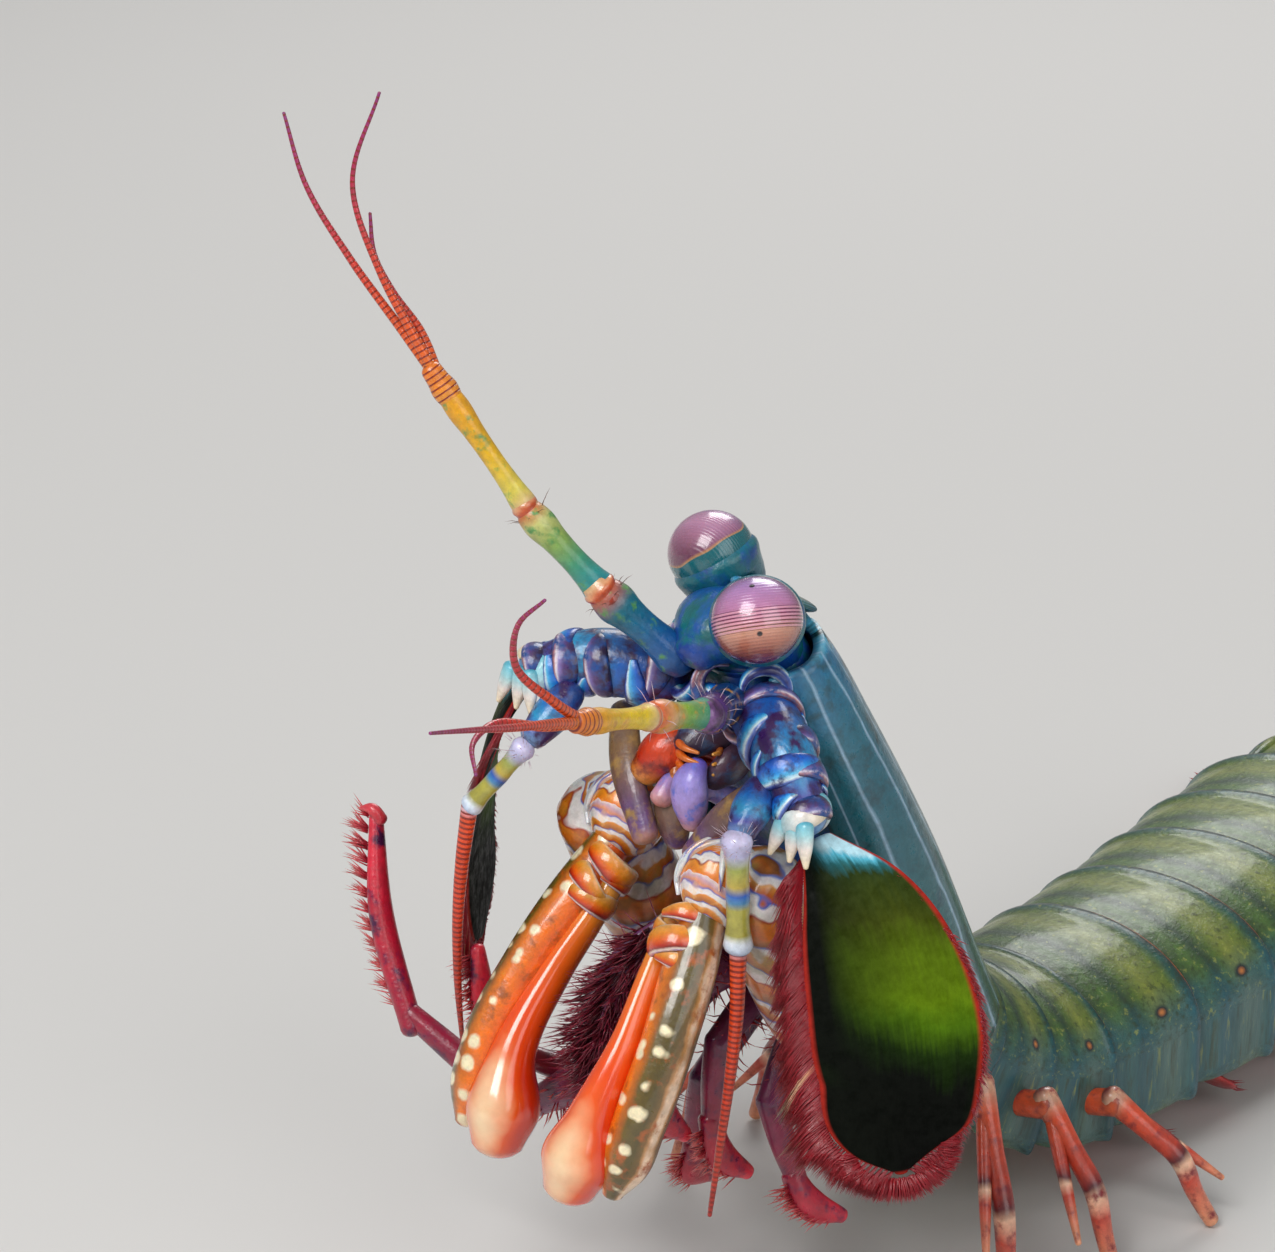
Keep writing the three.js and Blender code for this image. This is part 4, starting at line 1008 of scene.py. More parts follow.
# %% Head and shield finishes
# The head's shell is a smooth inky blue that clouds to petrol.
HEAD_FINISH = chitin(
    "head_deep_blue_chitin",
    [(0.0, "0a4a5a"), (0.4, "0c3f9c"), (0.7, "1560b0"), (1.0, "103a90")],
    waver=0.5, mottle=("0a6a70", 2.2, 0.55),
)
# The shield is thin and half clear: teal with a soft glow, and glassy lines along its sides.
SHIELD_FINISH = chitin(
    "shield_teal_chitin",
    [(0.0, "2c4a24"), (0.25, "1a5444"), (0.6, "0c5a64"), (0.85, "0c6478"), (0.97, "0a70a0"),
     (1.0, "58b0d0")],
    waver=0.25, waver_mm=5, lines=("a8c8e0", (0.86, 0.97)), mottle=("0e3c40", 2.2, 0.3), glow=0.35,
)
# The mouth's shell is a hot orange with burnt patches.
MOUTH_FINISH = chitin(
    "mouth_orange_chitin",
    [(0.0, "e07a10"), (0.4, "e84a10"), (0.7, "b82a0c"), (1.0, "f0a040")],
    waver=0.4, mottle=("7a1808", 1.5, 0.4),
)
# Behind it is dull plum skin, painted nearly black as shade, so that the mouth reads as a hollow.
MOUTH_PLUM_SHADE = chitin(
    "mouth_plum_painted_shade", [(0.0, "30203a"), (0.5, "5a3a4c"), (1.0, "2c1a34")],
    waver=0.5, mottle=("3a5a80", 1.2, 0.4), gloss=0.3,
)
# The small arms are half clear, umber over violet, as if light came through them.
ARM_AMBER = chitin(
    "small_arm_umber_chitin",
    [(0.0, "5a4a60"), (0.3, "8a6a48"), (0.6, "7a5a5a"), (0.85, "6a4a80"), (1.0, "c08a70")],
    waver=0.4, mottle=("b08a50", 1.6, 0.4), glow=0.4,
)
# The palps are milky lavender and look soft, because light goes deep into them.
PALP_FINISH = chitin(
    "palp_lavender_chitin",
    [(0.0, "6a5ac0"), (0.35, "a89ae4"), (0.7, "b894d0"), (0.88, "d8a0a8"), (1.0, "c87a6a")],
    waver=0.3, mottle=("6a7ad8", 1.2, 0.3), glow=0.4,
)

# %% Shield and front of the thorax
SHIELD_PROFILES = [
    (0, 10.4, 7.0), (0.12, 11.0, 7.0), (0.45, 10.8, 6.4), (0.8, 8.8, 5.4), (0.95, 7.6, 4.8),
    (1, 7.0, 4.4),
]
SHIELD_WALL = 0.9 * MM


def grooved(across, up):
    """The shield's section: two lengthwise grooves and a low keel between them."""
    groove = 0.035 * math.exp(-((abs(across) - 0.45) / 0.05) ** 2)
    dip = groove - 0.012 * math.exp(-((across / 0.05) ** 2))
    return across * (1 - dip), up * (1 - dip)


bm = new_bmesh()
trunk(
    bm, SHIELD_REAR, SHIELD_FRONT, SHIELD_PROFILES,
    sides=144, pitch=0.6, section=grooved, open_below=-0.7,
)
shield = piece(bm, "carapace_shell", "carapace", "shell_teal", SHIELD_FINISH)
wall = shield.modifiers.new("wall", "SOLIDIFY")
wall.thickness = SHIELD_WALL
wall.offset = -1

bm = new_bmesh()
thorax = [(0, 8.0, 5.4), (0.3, 8.2, 5.2), (0.7, 7.0, 4.4), (1, 5.4, 3.4)]
trunk(bm, 19.8, SHIELD_FRONT - 1, thorax, sides=48, pitch=0.6)
piece(bm, "thorax_front_skin", "thorax_front", "shell_teal", HEAD_FINISH)

bm = new_bmesh()
root = beside(SHIELD_FRONT + 0.4, 0, 4.3)
tip = root + Vector((0, -4.6, 2.4))
limb(bm, [root, root.lerp(tip, 0.5), tip], [(3.6, 0.6), (3.0, 0.65), (0.7, 0.4)])
piece(bm, "rostral_plate", "rostrum", "shell_teal", SHIELD_FINISH)
print("shield made, its wall", SHIELD_WALL / MM, "mm thick")

# %% Head
HEAD_FOLDS = [  # middle, tilt, radius, first angle, half width, finish
    ((5.0, -35.4, 51.4), (1, -0.6, 0.2), 1.7, 0.0, 1.0, 1),
    ((4.2, -36.6, 49.4), (0.2, -1, 0.6), 1.5, 2.0, 0.8, 2),
    ((1.4, -36.4, 51.2), (0.6, -0.8, 0.4), 1.6, 4.0, 0.9, 2),
    ((0.2, -36.2, 49.4), (0.2, -1, -0.4), 1.5, 1.0, 0.8, 1),
    ((-2.4, -35.8, 51.0), (-0.5, -1, 0.4), 1.7, 3.0, 0.9, 1),
    ((-4.8, -35.0, 51.6), (-1, -0.6, 0.2), 1.8, 5.0, 1.0, 2),
]
bm = new_bmesh()
skull = [beside(SHIELD_FRONT - 0.6, 0, 0), (0, -34.2, 54.6), (0, -36.2, 54.4), (0, -37.4, 53.6)]
limb(bm, skull, [(5.2, 3.3), (4.8, 3.0), (3.4, 2.4), (1.8, 1.5)], sides=40, pitch=0.4)
for middle, tilt, radius, begin, wide, finish in HEAD_FOLDS:
    crescent(bm, middle, tilt, radius, begin, 4.2, (wide, 0.55), finish)
piece(bm, "head_block", "head", "shell_blue", HEAD_FINISH, PLATE_COBALT, PLATE_VIOLET)

# %% Mouth and palps
bm = new_bmesh()
# The gullet and the jaw on the left wear the plum skin that is painted dark as the mouth's shade.
gullet = [(0, -33.0, 47.6), (0, -36.0, 47.4), (0, -38.2, 46.6)]
limb(bm, gullet, [(3, 2.4), (2.4, 2.1), (1.2, 1.1)], finish=1)
for way in (-1, 1):
    jaw = [(way * 2.6, -34.6, 46.0), (way * 2.4, -36.4, 45.0), (way * 1.3, -38.0, 43.6)]
    limb(bm, jaw, [(0.9, 1.2), (1.0, 1.4), (0.5, 0.7)], finish=way > 0)
dome = [(-1.6, -36.0, 45.6), (-3.0, -37.6, 45.0), (-3.9, -38.8, 43.6)]
limb(bm, dome, [(1.5, 1.7), (1.8, 1.9), (1.2, 1.3)])
for k in range(3):
    crescent(bm, (0.9, -37.8, 46.6 - 0.8 * k), (0.1, 0.2, 1), 1.5, 0.4, 5.5, (0.42, 0.42), 0)
piece(bm, "mouth_parts", "mouth", "mouth", MOUTH_FINISH, MOUTH_PLUM_SHADE)

PADS = {"left": (1.5, 2.0, 0.0), "right": (-1.7, -0.8, 1.4)}  # out, lift, back
for flank, (x, lift, back) in PADS.items():
    way = FLANKS[flank]
    bm = new_bmesh()
    stem = [(x, -35.2, 42.0), (x, -38.4, 43.2), (x, -39.2, 42.2)]
    limb(bm, stem, [0.9, 0.7, 0.9], sides=20)
    pad = [(x, y + back, z + lift) for y, z in
           ((-38.6, 43.6), (-39.3, 42.6), (-39.4, 40.8), (-39.1, 39.2))]
    pad_halves = [(0.8, 0.7), (1.4, 1.1), (1.5, 1.15), (1.0, 0.8)]
    limb(bm, pad, pad_halves, pitch=0.25, finish=way < 0)
    arm = [(way * 8.8, -36.4, 46.4), (way * 5.6, -39.0, 43.2), (way * 2.6, -40.0, 39.2)]
    limb(bm, arm, [(1.1, 0.9), (1.35, 1.0), (1.1, 0.9)], sides=28, finish=1)
    piece(bm, f"palp_{flank}", f"maxilliped_1_{flank}", "palp", PALP_FINISH, ARM_AMBER)
print("head made")

# %% [markdown]
# ## Claws
# Each striking claw folds in three: the thick upper arm behind, the rounded wrist in front and
# the long hand that hangs from it, with the club folded along its inner side. The club's heel
# is the hammer. It is smooth and nearly glassy, where the arm is striped and spotted.

# %% Claw finishes
# The arm's thick shell has crisp bands of orange and white, each with a thin blue edge.
ARM_FINISH = banded(
    "claw_arm_striped_chitin",
    [(0.0, "e87818"), (0.2, "f09028"), (0.25, "b83c10"), (0.29, "fbf4ee"), (0.42, "fbf6f4"),
     (0.45, "4a6ac8"), (0.48, "c8601c"), (0.62, "e8a048"), (0.66, "fbf2ec"), (0.74, "f4f0f4"),
     (0.78, "6a80d0"), (0.82, "9a5a1c"), (0.94, "d88030"), (1.0, "e87818")],
    repeats=3.6, waver=0.16, mottle=("8a8a38", 2.4, 0.5), glow=0.3, gloss=0.8,
)
# On the wrist the bands run round the joint like marbling, under a lacquer-like gloss.
WRIST_FINISH = banded(
    "claw_wrist_marbled_chitin",
    [(0.0, "f88410"), (0.16, "fc9c1c"), (0.19, "9a2408"), (0.21, "fbf4f0"), (0.28, "fbf6f4"),
     (0.3, "3c5cb8"), (0.32, "e0701c"), (0.44, "f8a038"), (0.47, "fbf4f0"), (0.53, "f8f0f4"),
     (0.55, "4a5ab0"), (0.57, "b8641c"), (0.68, "f0982c"), (0.71, "fbf4f0"), (0.8, "fbf2f4"),
     (0.83, "7a78cc"), (0.87, "f0a078"), (0.94, "e0b8c8"), (1.0, "f8e8e4")],
    centre=(0.15, -0.75, -0.75), repeats=0.8, waver=0.42, waver_mm=1.5,
    mottle=("ffc878", 0.8, 0.4), glow=0.3, gloss=1.0,
)
# The palm is amber inside and olive brown outside, with two rows of cream spots.
PALM_FINISH = chitin(
    "claw_palm_amber_chitin",
    [(0.0, "f8641c"), (0.22, "f87c14"), (0.42, "e87c14"), (0.56, "b8681c"), (0.66, "6e5a1c"),
     (0.9, "5a4c1a"), (0.965, "7a5a24"), (0.985, "c89058"), (1.0, "f0d0b0")],
    axis=0, waver=0.2, mottle=("b05a14", 1.6, 0.25), specks=("fff0c8", 2.3, 0.5, (-0.5, 0.9)),
    glow=0.35, gloss=1.0,
)
# A raised rim is pearly white, so it draws a bright line round the joint.
RIM_FINISH = banded(
    "claw_rim_pearl_chitin",
    [(0.0, "f8f2f0"), (0.3, "fbf8f6"), (0.36, "5a70c8"), (0.44, "f0b088"), (0.7, "f8f0ec"),
     (0.9, "b8a8d8"), (1.0, "f8f2f0")],
    repeats=1.5, glow=0.4, gloss=1.0,
)
# The collars of the joint shine like enamel: orange crests with a dark red groove between.
HOOK_FINISH = chitin(
    "claw_hook_orange_chitin",
    [(0.0, "f8d8b8"), (0.12, "f8a850"), (0.4, "f0901c"), (0.62, "f06a10"), (0.8, "c83008"),
     (0.88, "8a1c10"), (0.94, "f8e0d0"), (1.0, "a898d8")],
    axis=0, waver=0.35, waver_mm=1.4, glow=0.3, gloss=1.0,
)

# %% Club finish
HEEL_FACE = (0.2, 0.7, 2.55)  # middle of the ivory face, in `share` with its length tripled


def glazed_club(name):
    """Dense, almost glassy chitin: fiery orange, with an ivory face on the hammer's heel and a
    painted highlight of brighter orange round it.
    """
    material, tree, share, lie = blank(name)
    along = add(tree, "SeparateXYZ", [share], out=2)
    base = add(tree, "ValToRGB", [along], stops=[
        (0.0, "f0b860"), (0.1, "e89030"), (0.24, "f0701c"), (0.5, "f45410"), (0.72, "e63406"),
        (1.0, "e03a0c"),
    ])
    stretched = add(tree, "VectorMath", [share, (1.0, 1.0, 3.0)], operation="MULTIPLY")
    gap = add(tree, "VectorMath", [stretched, HEEL_FACE], out="Value", operation="DISTANCE")
    wobble = add(tree, "TexNoise", {"Vector": lie, "Scale": 0.5, "Detail": 2.0})
    reach = add(tree, "Math", [wobble, 0.3, gap], operation="MULTIPLY_ADD")
    # The halo is a painted highlight: a ring of brighter orange round the ivory face.
    for code, begin, full in (("f86c24", 1.15, 0.75), ("ffdcb0", 0.92, 0.4)):  # halo, ivory
        base = overlay(tree, base, code, add(tree, "MapRange", [reach, begin, full]))
    coat(tree, base, wobble, rough=0.16, gloss=1.0, glow=0.18, depth=0.05, patchy=0.2)
    return material


CLUB_FINISH = glazed_club("club_glazed_chitin")

# %% Claw measures
CLAWS = {  # hip, knee, shoulder, wrist, then the points of the palm and of the club
    "left": (
        (4.6, -32.0, 33.0), (7.2, -29.6, 21.0), (8.4, -39.2, 38.4), (6.2, -40.8, 38.4),
        [(6.0, -43.2, 35.2), (7.4, -47.2, 28.0), (7.1, -49.6, 22.6), (6.4, -50.8, 18.8)],
        [(3.9, -43.6, 35.2), (4.8, -48.6, 28.0), (4.3, -51.6, 22.8), (3.6, -52.6, 18.8)],
    ),
    "right": (
        (-4.6, -31.0, 33.4), (-10.6, -28.2, 21.6), (-11.2, -36.8, 37.8), (-7.4, -37.2, 38.8),
        [(-7.9, -40.0, 35.0), (-9.8, -45.2, 28.0), (-10.5, -48.6, 22.6), (-10.4, -50.4, 18.6)],
        [(-6.0, -39.6, 34.6), (-7.4, -44.6, 28.0), (-7.9, -48.6, 22.2), (-7.5, -50.1, 17.6)],
    ),
}
WRIST_HALVES = (2.9, 3.0, 3.4)
PALM_HALVES = [(1.5, 1.6), (2.0, 1.9), (1.9, 2.1), (1.9, 2.1), 1.7, (0.8, 0.9)]
CLUB_HALVES = [(0.7, 0.9), (0.9, 1.2), (1.05, 1.4), (1.75, 1.9), (2.7, 2.8), (2.1, 2.2)]
WRIST_RIMS = [  # tilt of the arc, its radius, first angle, sweep, half thickness
    ((0.50, -0.55, 0.65), 3.15, -0.3, 3.6, 0.36), ((0.75, -0.60, -0.10), 3.2, 0.2, 2.8, 0.30),
    ((-0.70, -0.65, 0.10), 3.25, 0.3, 2.6, 0.32), ((0.30, -0.40, 0.90), 3.1, -0.2, 3.4, 0.24),
    ((0.62, -0.62, 0.42), 3.15, 0.0, 3.1, 0.24),
]
WRIST_HOOKS = [  # distance down the palm, slant, first angle, radius
    (-0.8, 0.35, 0.6, 1.9), (0.3, -0.3, 2.4, 1.95), (1.3, 0.45, 4.4, 2.0), (2.3, -0.15, 1.2, 1.9),
]


# %% Claws
def wrist_joint(bm, wrist, palm, club, way):
    """The round wrist with its pearly rims, and the collars where the palm hangs from it."""
    bead(bm, wrist, WRIST_HALVES, (56, 40))
    for tilt, radius, begin, sweep, thick in WRIST_RIMS:
        crescent(bm, wrist, tilt, radius, begin, sweep, (thick, thick * 1.4), 1)
    joint = between(palm[0], club[0], 0.42)
    axis = (Vector(palm[1]) - Vector(palm[0])).normalized()
    for drop, slant, begin, radius in WRIST_HOOKS:
        tilt = axis + Vector((way * 0.5, 0, 0.5)) * slant
        crescent(bm, joint + axis * drop, tilt, radius, begin, 5.6, (1.05, 0.45), 2)


for flank, (hip, knee, shoulder, wrist, palm, club) in CLAWS.items():
    way = FLANKS[flank]
    bm = new_bmesh()
    wrist_joint(bm, wrist, palm, club, way)
    piece(
        bm, f"claw_{flank}_carpus", f"claw_{flank}_wrist", "claw_joint",
        WRIST_FINISH, RIM_FINISH, HOOK_FINISH,
    )
    bm = new_bmesh()
    start = between(wrist, palm[0], 0.5)
    points = [start, between(start, palm[1], 0.35), *palm[1:], between(palm[2], palm[3], 1.4)]
    limb(bm, points, PALM_HALVES, side=(way, 0, 0), sides=48, pitch=0.4)
    piece(bm, f"claw_{flank}_propodus", f"claw_{flank}_palm", "palm", PALM_FINISH)
    bm = new_bmesh()
    top, upper, lower, heel = (Vector(p) for p in club)
    drop = (heel - lower).normalized()
    points = [top, top.lerp(upper, 0.5), upper, lower, heel - drop * 0.4, heel + drop * 1.3]
    limb(bm, points, CLUB_HALVES, sides=56)
    piece(bm, f"claw_{flank}_dactyl", f"claw_{flank}_club", "club", CLUB_FINISH)
    bm = new_bmesh()
    points = [knee, between(knee, shoulder, 0.3), between(knee, shoulder, 0.7), shoulder]
    limb(bm, points, [(2.0, 2.2), (3.0, 3.6), (3.4, 3.8), (3.2, 3.4)], sides=40, pitch=0.4)
    thigh = [hip, between(hip, knee, 0.5), knee]
    limb(bm, thigh, [(1.9, 1.7), (1.7, 1.5), 1.9], sides=28, pitch=0.4, span=(0, 0.3))
    piece(bm, f"claw_{flank}_upper_arm", f"claw_{flank}_merus", "claw_joint", ARM_FINISH)
print("claws made")

# %% [markdown]
# ## Small hands
# Behind the claws hang three more pairs of limbs that handle food. Each ends in a flat oval
# hand whose edge carries a comb of stiff crimson bristles, and wine-red setae fill the gap
# between the claws. The dense setae could be a plate with a bump, but their loose ends show
# against the light, so each one is a thin spike.

# %% Finishes of the small hands
# The shell is half clear, violet at its root and a lit crimson at the tip.
HAND_FINISH = chitin(
    "maxilliped_crimson_chitin",
    [(0.0, "5a2a5a"), (0.35, "7a2050"), (0.62, "a01838"), (0.85, "c81c38"), (1.0, "f03048")],
    waver=0.3, mottle=("4a1040", 1.8, 0.4), glow=0.3,
)
# Stiff bristles glow light red at their tips; the setae of the veil are nearly black at the root.
COMB = chitin("maxilliped_bristle_chitin", [(0.0, "b81830"), (1.0, "f05058")], glow=0.3)
VEIL = chitin(
    "maxilliped_wine_setae", [(0.0, "3a0818"), (0.6, "6a0c24"), (1.0, "a81c38")], glow=0.2
)

# %% Measures of the small hands
MAXILLIPEDS = {  # root, elbow, wrist, tip
    "maxilliped_3_left": [
        (1.9, -31.4, 31.4), (1.4, -40.0, 27.6), (0.8, -41.4, 21.0), (0.8, -39.0, 15.6)],
    "maxilliped_4_left": [
        (1.9, -29.6, 28.0), (1.6, -36.6, 22.6), (1.6, -37.0, 16.2), (2.2, -33.8, 11.2)],
    "maxilliped_5_left": [
        (2.0, -27.2, 24.0), (3.0, -32.4, 16.8), (5.2, -31.6, 11.0), (7.0, -28.4, 7.4)],
    "maxilliped_3_right": [
        (-1.9, -31.4, 31.4), (-11.6, -44.4, 15.0), (-20.6, -47.9, 21.2), (-26.9, -45.6, 34.8)],
    "maxilliped_4_right": [
        (-1.9, -29.6, 28.0), (-7.8, -39.0, 16.6), (-13.4, -43.4, 19.0), (-15.6, -45.2, 27.4)],
    "maxilliped_5_right": [
        (-2.0, -27.2, 24.0), (-3.6, -33.2, 16.6), (-4.2, -33.2, 10.6), (-5.8, -30.0, 6.6)],
}
VEIL_LINE = [(0.4, -39.8, 33.0), (-1.6, -42.2, 29.0), (-2.6, -43.4, 24.6), (-2.0, -43.0, 19.6)]
VEIL_HAIRS = 2600
TO_VIEWER = Vector((0.73, -0.68, 0))
ASIDE = Vector((-0.68, -0.73, 0))


# %% Veil of setae between the claws
def setae_veil(bm):
    """A thin plate in the gap between the claws, covered with setae on both faces."""
    spine = [Vector(p) for p in VEIL_LINE]
    halves = [(0.5, 1.2), (0.6, 2.3), (0.6, 2.4), (0.4, 1.0)]
    limb(bm, spine, halves, side=TO_VIEWER, pitch=0.4, span=(0, 0.45))
    veil = []
    for _ in range(VEIL_HAIRS):
        t = random.random() * 2.999
        across = random.uniform(-1, 1)
        on = spine[int(t)].lerp(spine[int(t) + 1], t % 1) + ASIDE * across * 2.0
        on += TO_VIEWER * random.choice((-0.4, 0.45))
        flare = ASIDE * (across * 1.1 + random.gauss(0, 0.4)) + TO_VIEWER * random.gauss(0.1, 0.3)
        drop = (flare + Vector((0, 0, random.gauss(-0.55, 0.35)))).normalized()
        veil.append((on, on + drop * random.uniform(2.2, 4.4), (0, 0, -0.25)))
    bristles(bm, veil, 0.1, finish=2)


# %% Small hands
for name, (root, elbow, wrist, tip) in MAXILLIPEDS.items():
    raised, third = name == "maxilliped_3_right", "_3_" in name
    bm = new_bmesh()
    under = (-3.8, -41.2, 21.6) if raised else between(root, elbow, 0.5)
    broad = 1.7 if third else 1.1
    arm_halves = [(1.1, 1.2), (broad, broad * 1.3), (1.0, 1.1)]
    limb(bm, [root, under, elbow], arm_halves, sides=24, pitch=0.5, span=(0, 0.35))
    hairs = []
    for _ in range(160 if third else 50):
        t = random.uniform(0.35, 1.0)
        on = between(root, under, t) if random.random() < 0.6 else between(under, elbow, t * 0.7)
        way = (random.uniform(-1, 1), random.uniform(-1.2, 0.4), random.uniform(-1.4, 0.2))
        way = Vector(way).normalized()
        end = on + way * (broad + random.uniform(1.0, 2.0))
        hairs.append((on + way * broad * 0.8, end, (0, 0, -0.2)))
    bristles(bm, hairs, 0.09, finish=1)
    if name == "maxilliped_3_left":
        setae_veil(bm)
    forearm = [between(elbow, wrist, -0.06), between(elbow, wrist, 0.5), wrist]
    limb(bm, forearm, [0.95, 1.05, 0.85], sides=20, pitch=0.4, span=(0.35, 0.65))
    outward = Vector((-0.86, -0.3, 0.3) if raised else (0, -1, 0))
    hand = [between(wrist, tip, -0.08), between(wrist, tip, 0.5) + outward * 1.2, tip]
    palm_half = (0.8, 1.05) if raised else (0.8, 1.3)
    limb(bm, hand, [0.9, palm_half, (0.5, 0.6)], sides=24, span=(0.65, 1))
    if raised:
        end = Vector(tip)
        hook = [end - outward * 0.4, end + outward * 0.5 + Vector((0.2, 0, 0.5)),
                end + outward * 1.5 + Vector((0, 0, 0.1))]
        limb(bm, hook, [0.6, 0.5, 0.15], sides=14, pitch=0.2, finish=1)
    hairs = []
    for _ in range(260 if raised else 90):
        t = random.uniform(0.02, 0.98)
        if raised:
            t = min(0.99, max(0.01, round(t * 11) / 11 + random.gauss(0, 0.012)))
        on = between(wrist, tip, t) + outward * (4 * t * (1 - t) * 1.2 + 0.7)
        spread = Vector([random.uniform(-1, 1) for _ in range(3)]) * 0.35
        end = on + (outward + spread).normalized() * random.uniform(1.2, 2.4)
        hairs.append((on, end, (0, 0, 0)))
    bristles(bm, hairs, 0.09, finish=1)
    piece(bm, f"{name}_limb", name, "maxilliped", HAND_FINISH, COMB, VEIL)
print("small hands made")

# %% [markdown]
# ## Thorax and tail rings
# The rings overlap like roof tiles: the rear edge of each covers the front of the next, so the
# tail can curl. Each ring is lofted with a rear lip that stands a little proud.


# %% Ring finish
def plated(name, stops, side_colour, freckles, spots):
    """Back shell: bands along the body, bluer at the sides, with freckles and eye spots."""
    material, tree, share, lie = blank(name)
    across, _, along = add(tree, "SeparateXYZ", [share], out=None)
    slow = add(tree, "TexNoise", {"Vector": lie, "Scale": 0.3, "Detail": 4.0})
    fine = add(tree, "TexNoise", {"Vector": lie, "Scale": 1.6, "Detail": 5.0, "Roughness": 0.65})
    shift = add(tree, "Math", [slow, 0.5], operation="SUBTRACT")
    run = add(tree, "Math", [shift, 0.08, along], operation="MULTIPLY_ADD")
    base = add(tree, "ValToRGB", [run], stops=stops)
    low = add(tree, "Math", [across], operation="ABSOLUTE")
    low = add(tree, "Math", [shift, 0.3, low], operation="MULTIPLY_ADD")
    low = add(tree, "MapRange", [low, 0.8, 1.0, 0.0, 0.75])
    base = overlay(tree, base, side_colour, low)
    for code, begin, full, strength in freckles:
        mask = add(tree, "MapRange", [fine, begin, full, 0.0, strength])
        base = overlay(tree, base, code, mask)
    for code, radius in spots:
        for side in (-1, 1):
            eye_spot = (side * 0.93, 0.37, 0.42)
            gap = add(tree, "VectorMath", [share, eye_spot], out="Value", operation="DISTANCE")
            mask = add(tree, "MapRange", [gap, radius, radius - 0.04])
            base = overlay(tree, base, code, mask)
    coat(tree, base, fine, rough=0.38, gloss=0.3, depth=0.12)
    return material


# Thick armour with a dull wax: olive, a dark front band, a rust-red lip and blue-green flanks.
RING_FINISH = plated(
    "ring_olive_chitin",
    [(0.0, "8a2a12"), (0.045, "c0501c"), (0.075, "18302a"), (0.13, "1c5048"), (0.2, "5a6e26"),
     (0.42, "7a8434"), (0.58, "4a6424"), (0.68, "24402a"), (0.8, "4a6a2c"), (1.0, "1c3420")],
    "1a5a6a",
    (("2a3a16", 0.53, 0.66, 0.7), ("9aa04a", 0.42, 0.32, 0.6)),
    (("14242a", 0.09), ("c87a3a", 0.05)),
)

# %% Rings
ABDOMEN_HALF = [10.6, 11.2, 11.8, 12.2, 12.3, 11.2]
THORAX_ENDS = [0, 7.2, 14, 19.6]
THORAX_HALF = [10.2, 9.6, 9.0]
BODY_HEIGHT = 6.8
KEELS = (2.2, 5.4, 8.4)
RING_SWELL = [(-0.03, 0.98), (0.0, 1.03), (0.2, 1.03), (0.7, 1.0), (1, 0.94)]


def body_ring(bm, back, front, half, height):
    profiles = [(share, half * swell, height * swell) for share, swell in RING_SWELL]
    trunk(bm, back + 0.2, front + 0.3, profiles, sides=72, pitch=0.5, section=arch)


def ring_keels(bm, back, half, height):
    """The last ring's six keels, each of which ends in a small spine."""
    for x in [way * keel for keel in KEELS for way in (-1, 1)]:
        top = height * math.sqrt(1 - (x / half) ** 2) - 0.3
        points = [beside(back + ABDOMEN_PITCH * 0.85, x, top), beside(back + 3, x, top + 0.3),
                  beside(back - 0.8, x * 1.02, top + 0.5)]
        halves = [(0.3, 0.4), (0.7, 0.8), 0.08]
        limb(bm, points, halves, side=heading(back)[1], sides=12, pitch=0.5, span=(1, 0))


for i, half in enumerate(ABDOMEN_HALF):
    back = -ABDOMEN_PITCH * (i + 1)
    last = i == len(ABDOMEN_HALF) - 1
    height = BODY_HEIGHT * 0.86 if last else BODY_HEIGHT
    bm = new_bmesh()
    body_ring(bm, back, back + ABDOMEN_PITCH, half, height)
    if last:
        ring_keels(bm, back, half, height)
    piece(bm, f"abdomen_{i + 1}_ring", f"abdomen_{i + 1}", "shell_olive", RING_FINISH)
for i, half in enumerate(THORAX_HALF):
    bm = new_bmesh()
    body_ring(bm, THORAX_ENDS[i], THORAX_ENDS[i + 1], half, BODY_HEIGHT * 0.97)
    piece(bm, f"thorax_{8 - i}_ring", f"thorax_{8 - i}", "shell_olive", RING_FINISH)
print("rings made")

# %% [markdown]
# ## Walking legs and swimmerets
# Three pairs of thin legs carry the animal, each with a side rod. Under the tail hang five
# pairs of paddles with a soft fringe, which drive the water, and tufts of gill threads.

# %% Leg and swimmeret finishes
# The leg's thin shell is light red, with a dark and a pale ring at each joint.
LEG_FINISH = chitin(
    "leg_red_chitin",
    [(0.0, "d8c8a0"), (0.2, "c84a28"), (0.37, "d8582c"), (0.4, "6a1820"), (0.43, "e8b090"),
     (0.5, "d8502c"), (0.68, "b83c28"), (0.72, "5a1420"), (0.75, "f0c0a0"), (0.8, "c84028"),
     (1.0, "e8a078")],
    waver=0.06, mottle=("8a2028", 1.6, 0.3), glow=0.3,
)
# The paddles are so thin that light comes through: amber roots and red leaves.
SWIM_FINISH = chitin(
    "swimmeret_red_chitin",
    [(0.0, "e0a060"), (0.4, "c83a28"), (0.8, "a81c28"), (1.0, "d84838")], waver=0.2, glow=0.35,
)

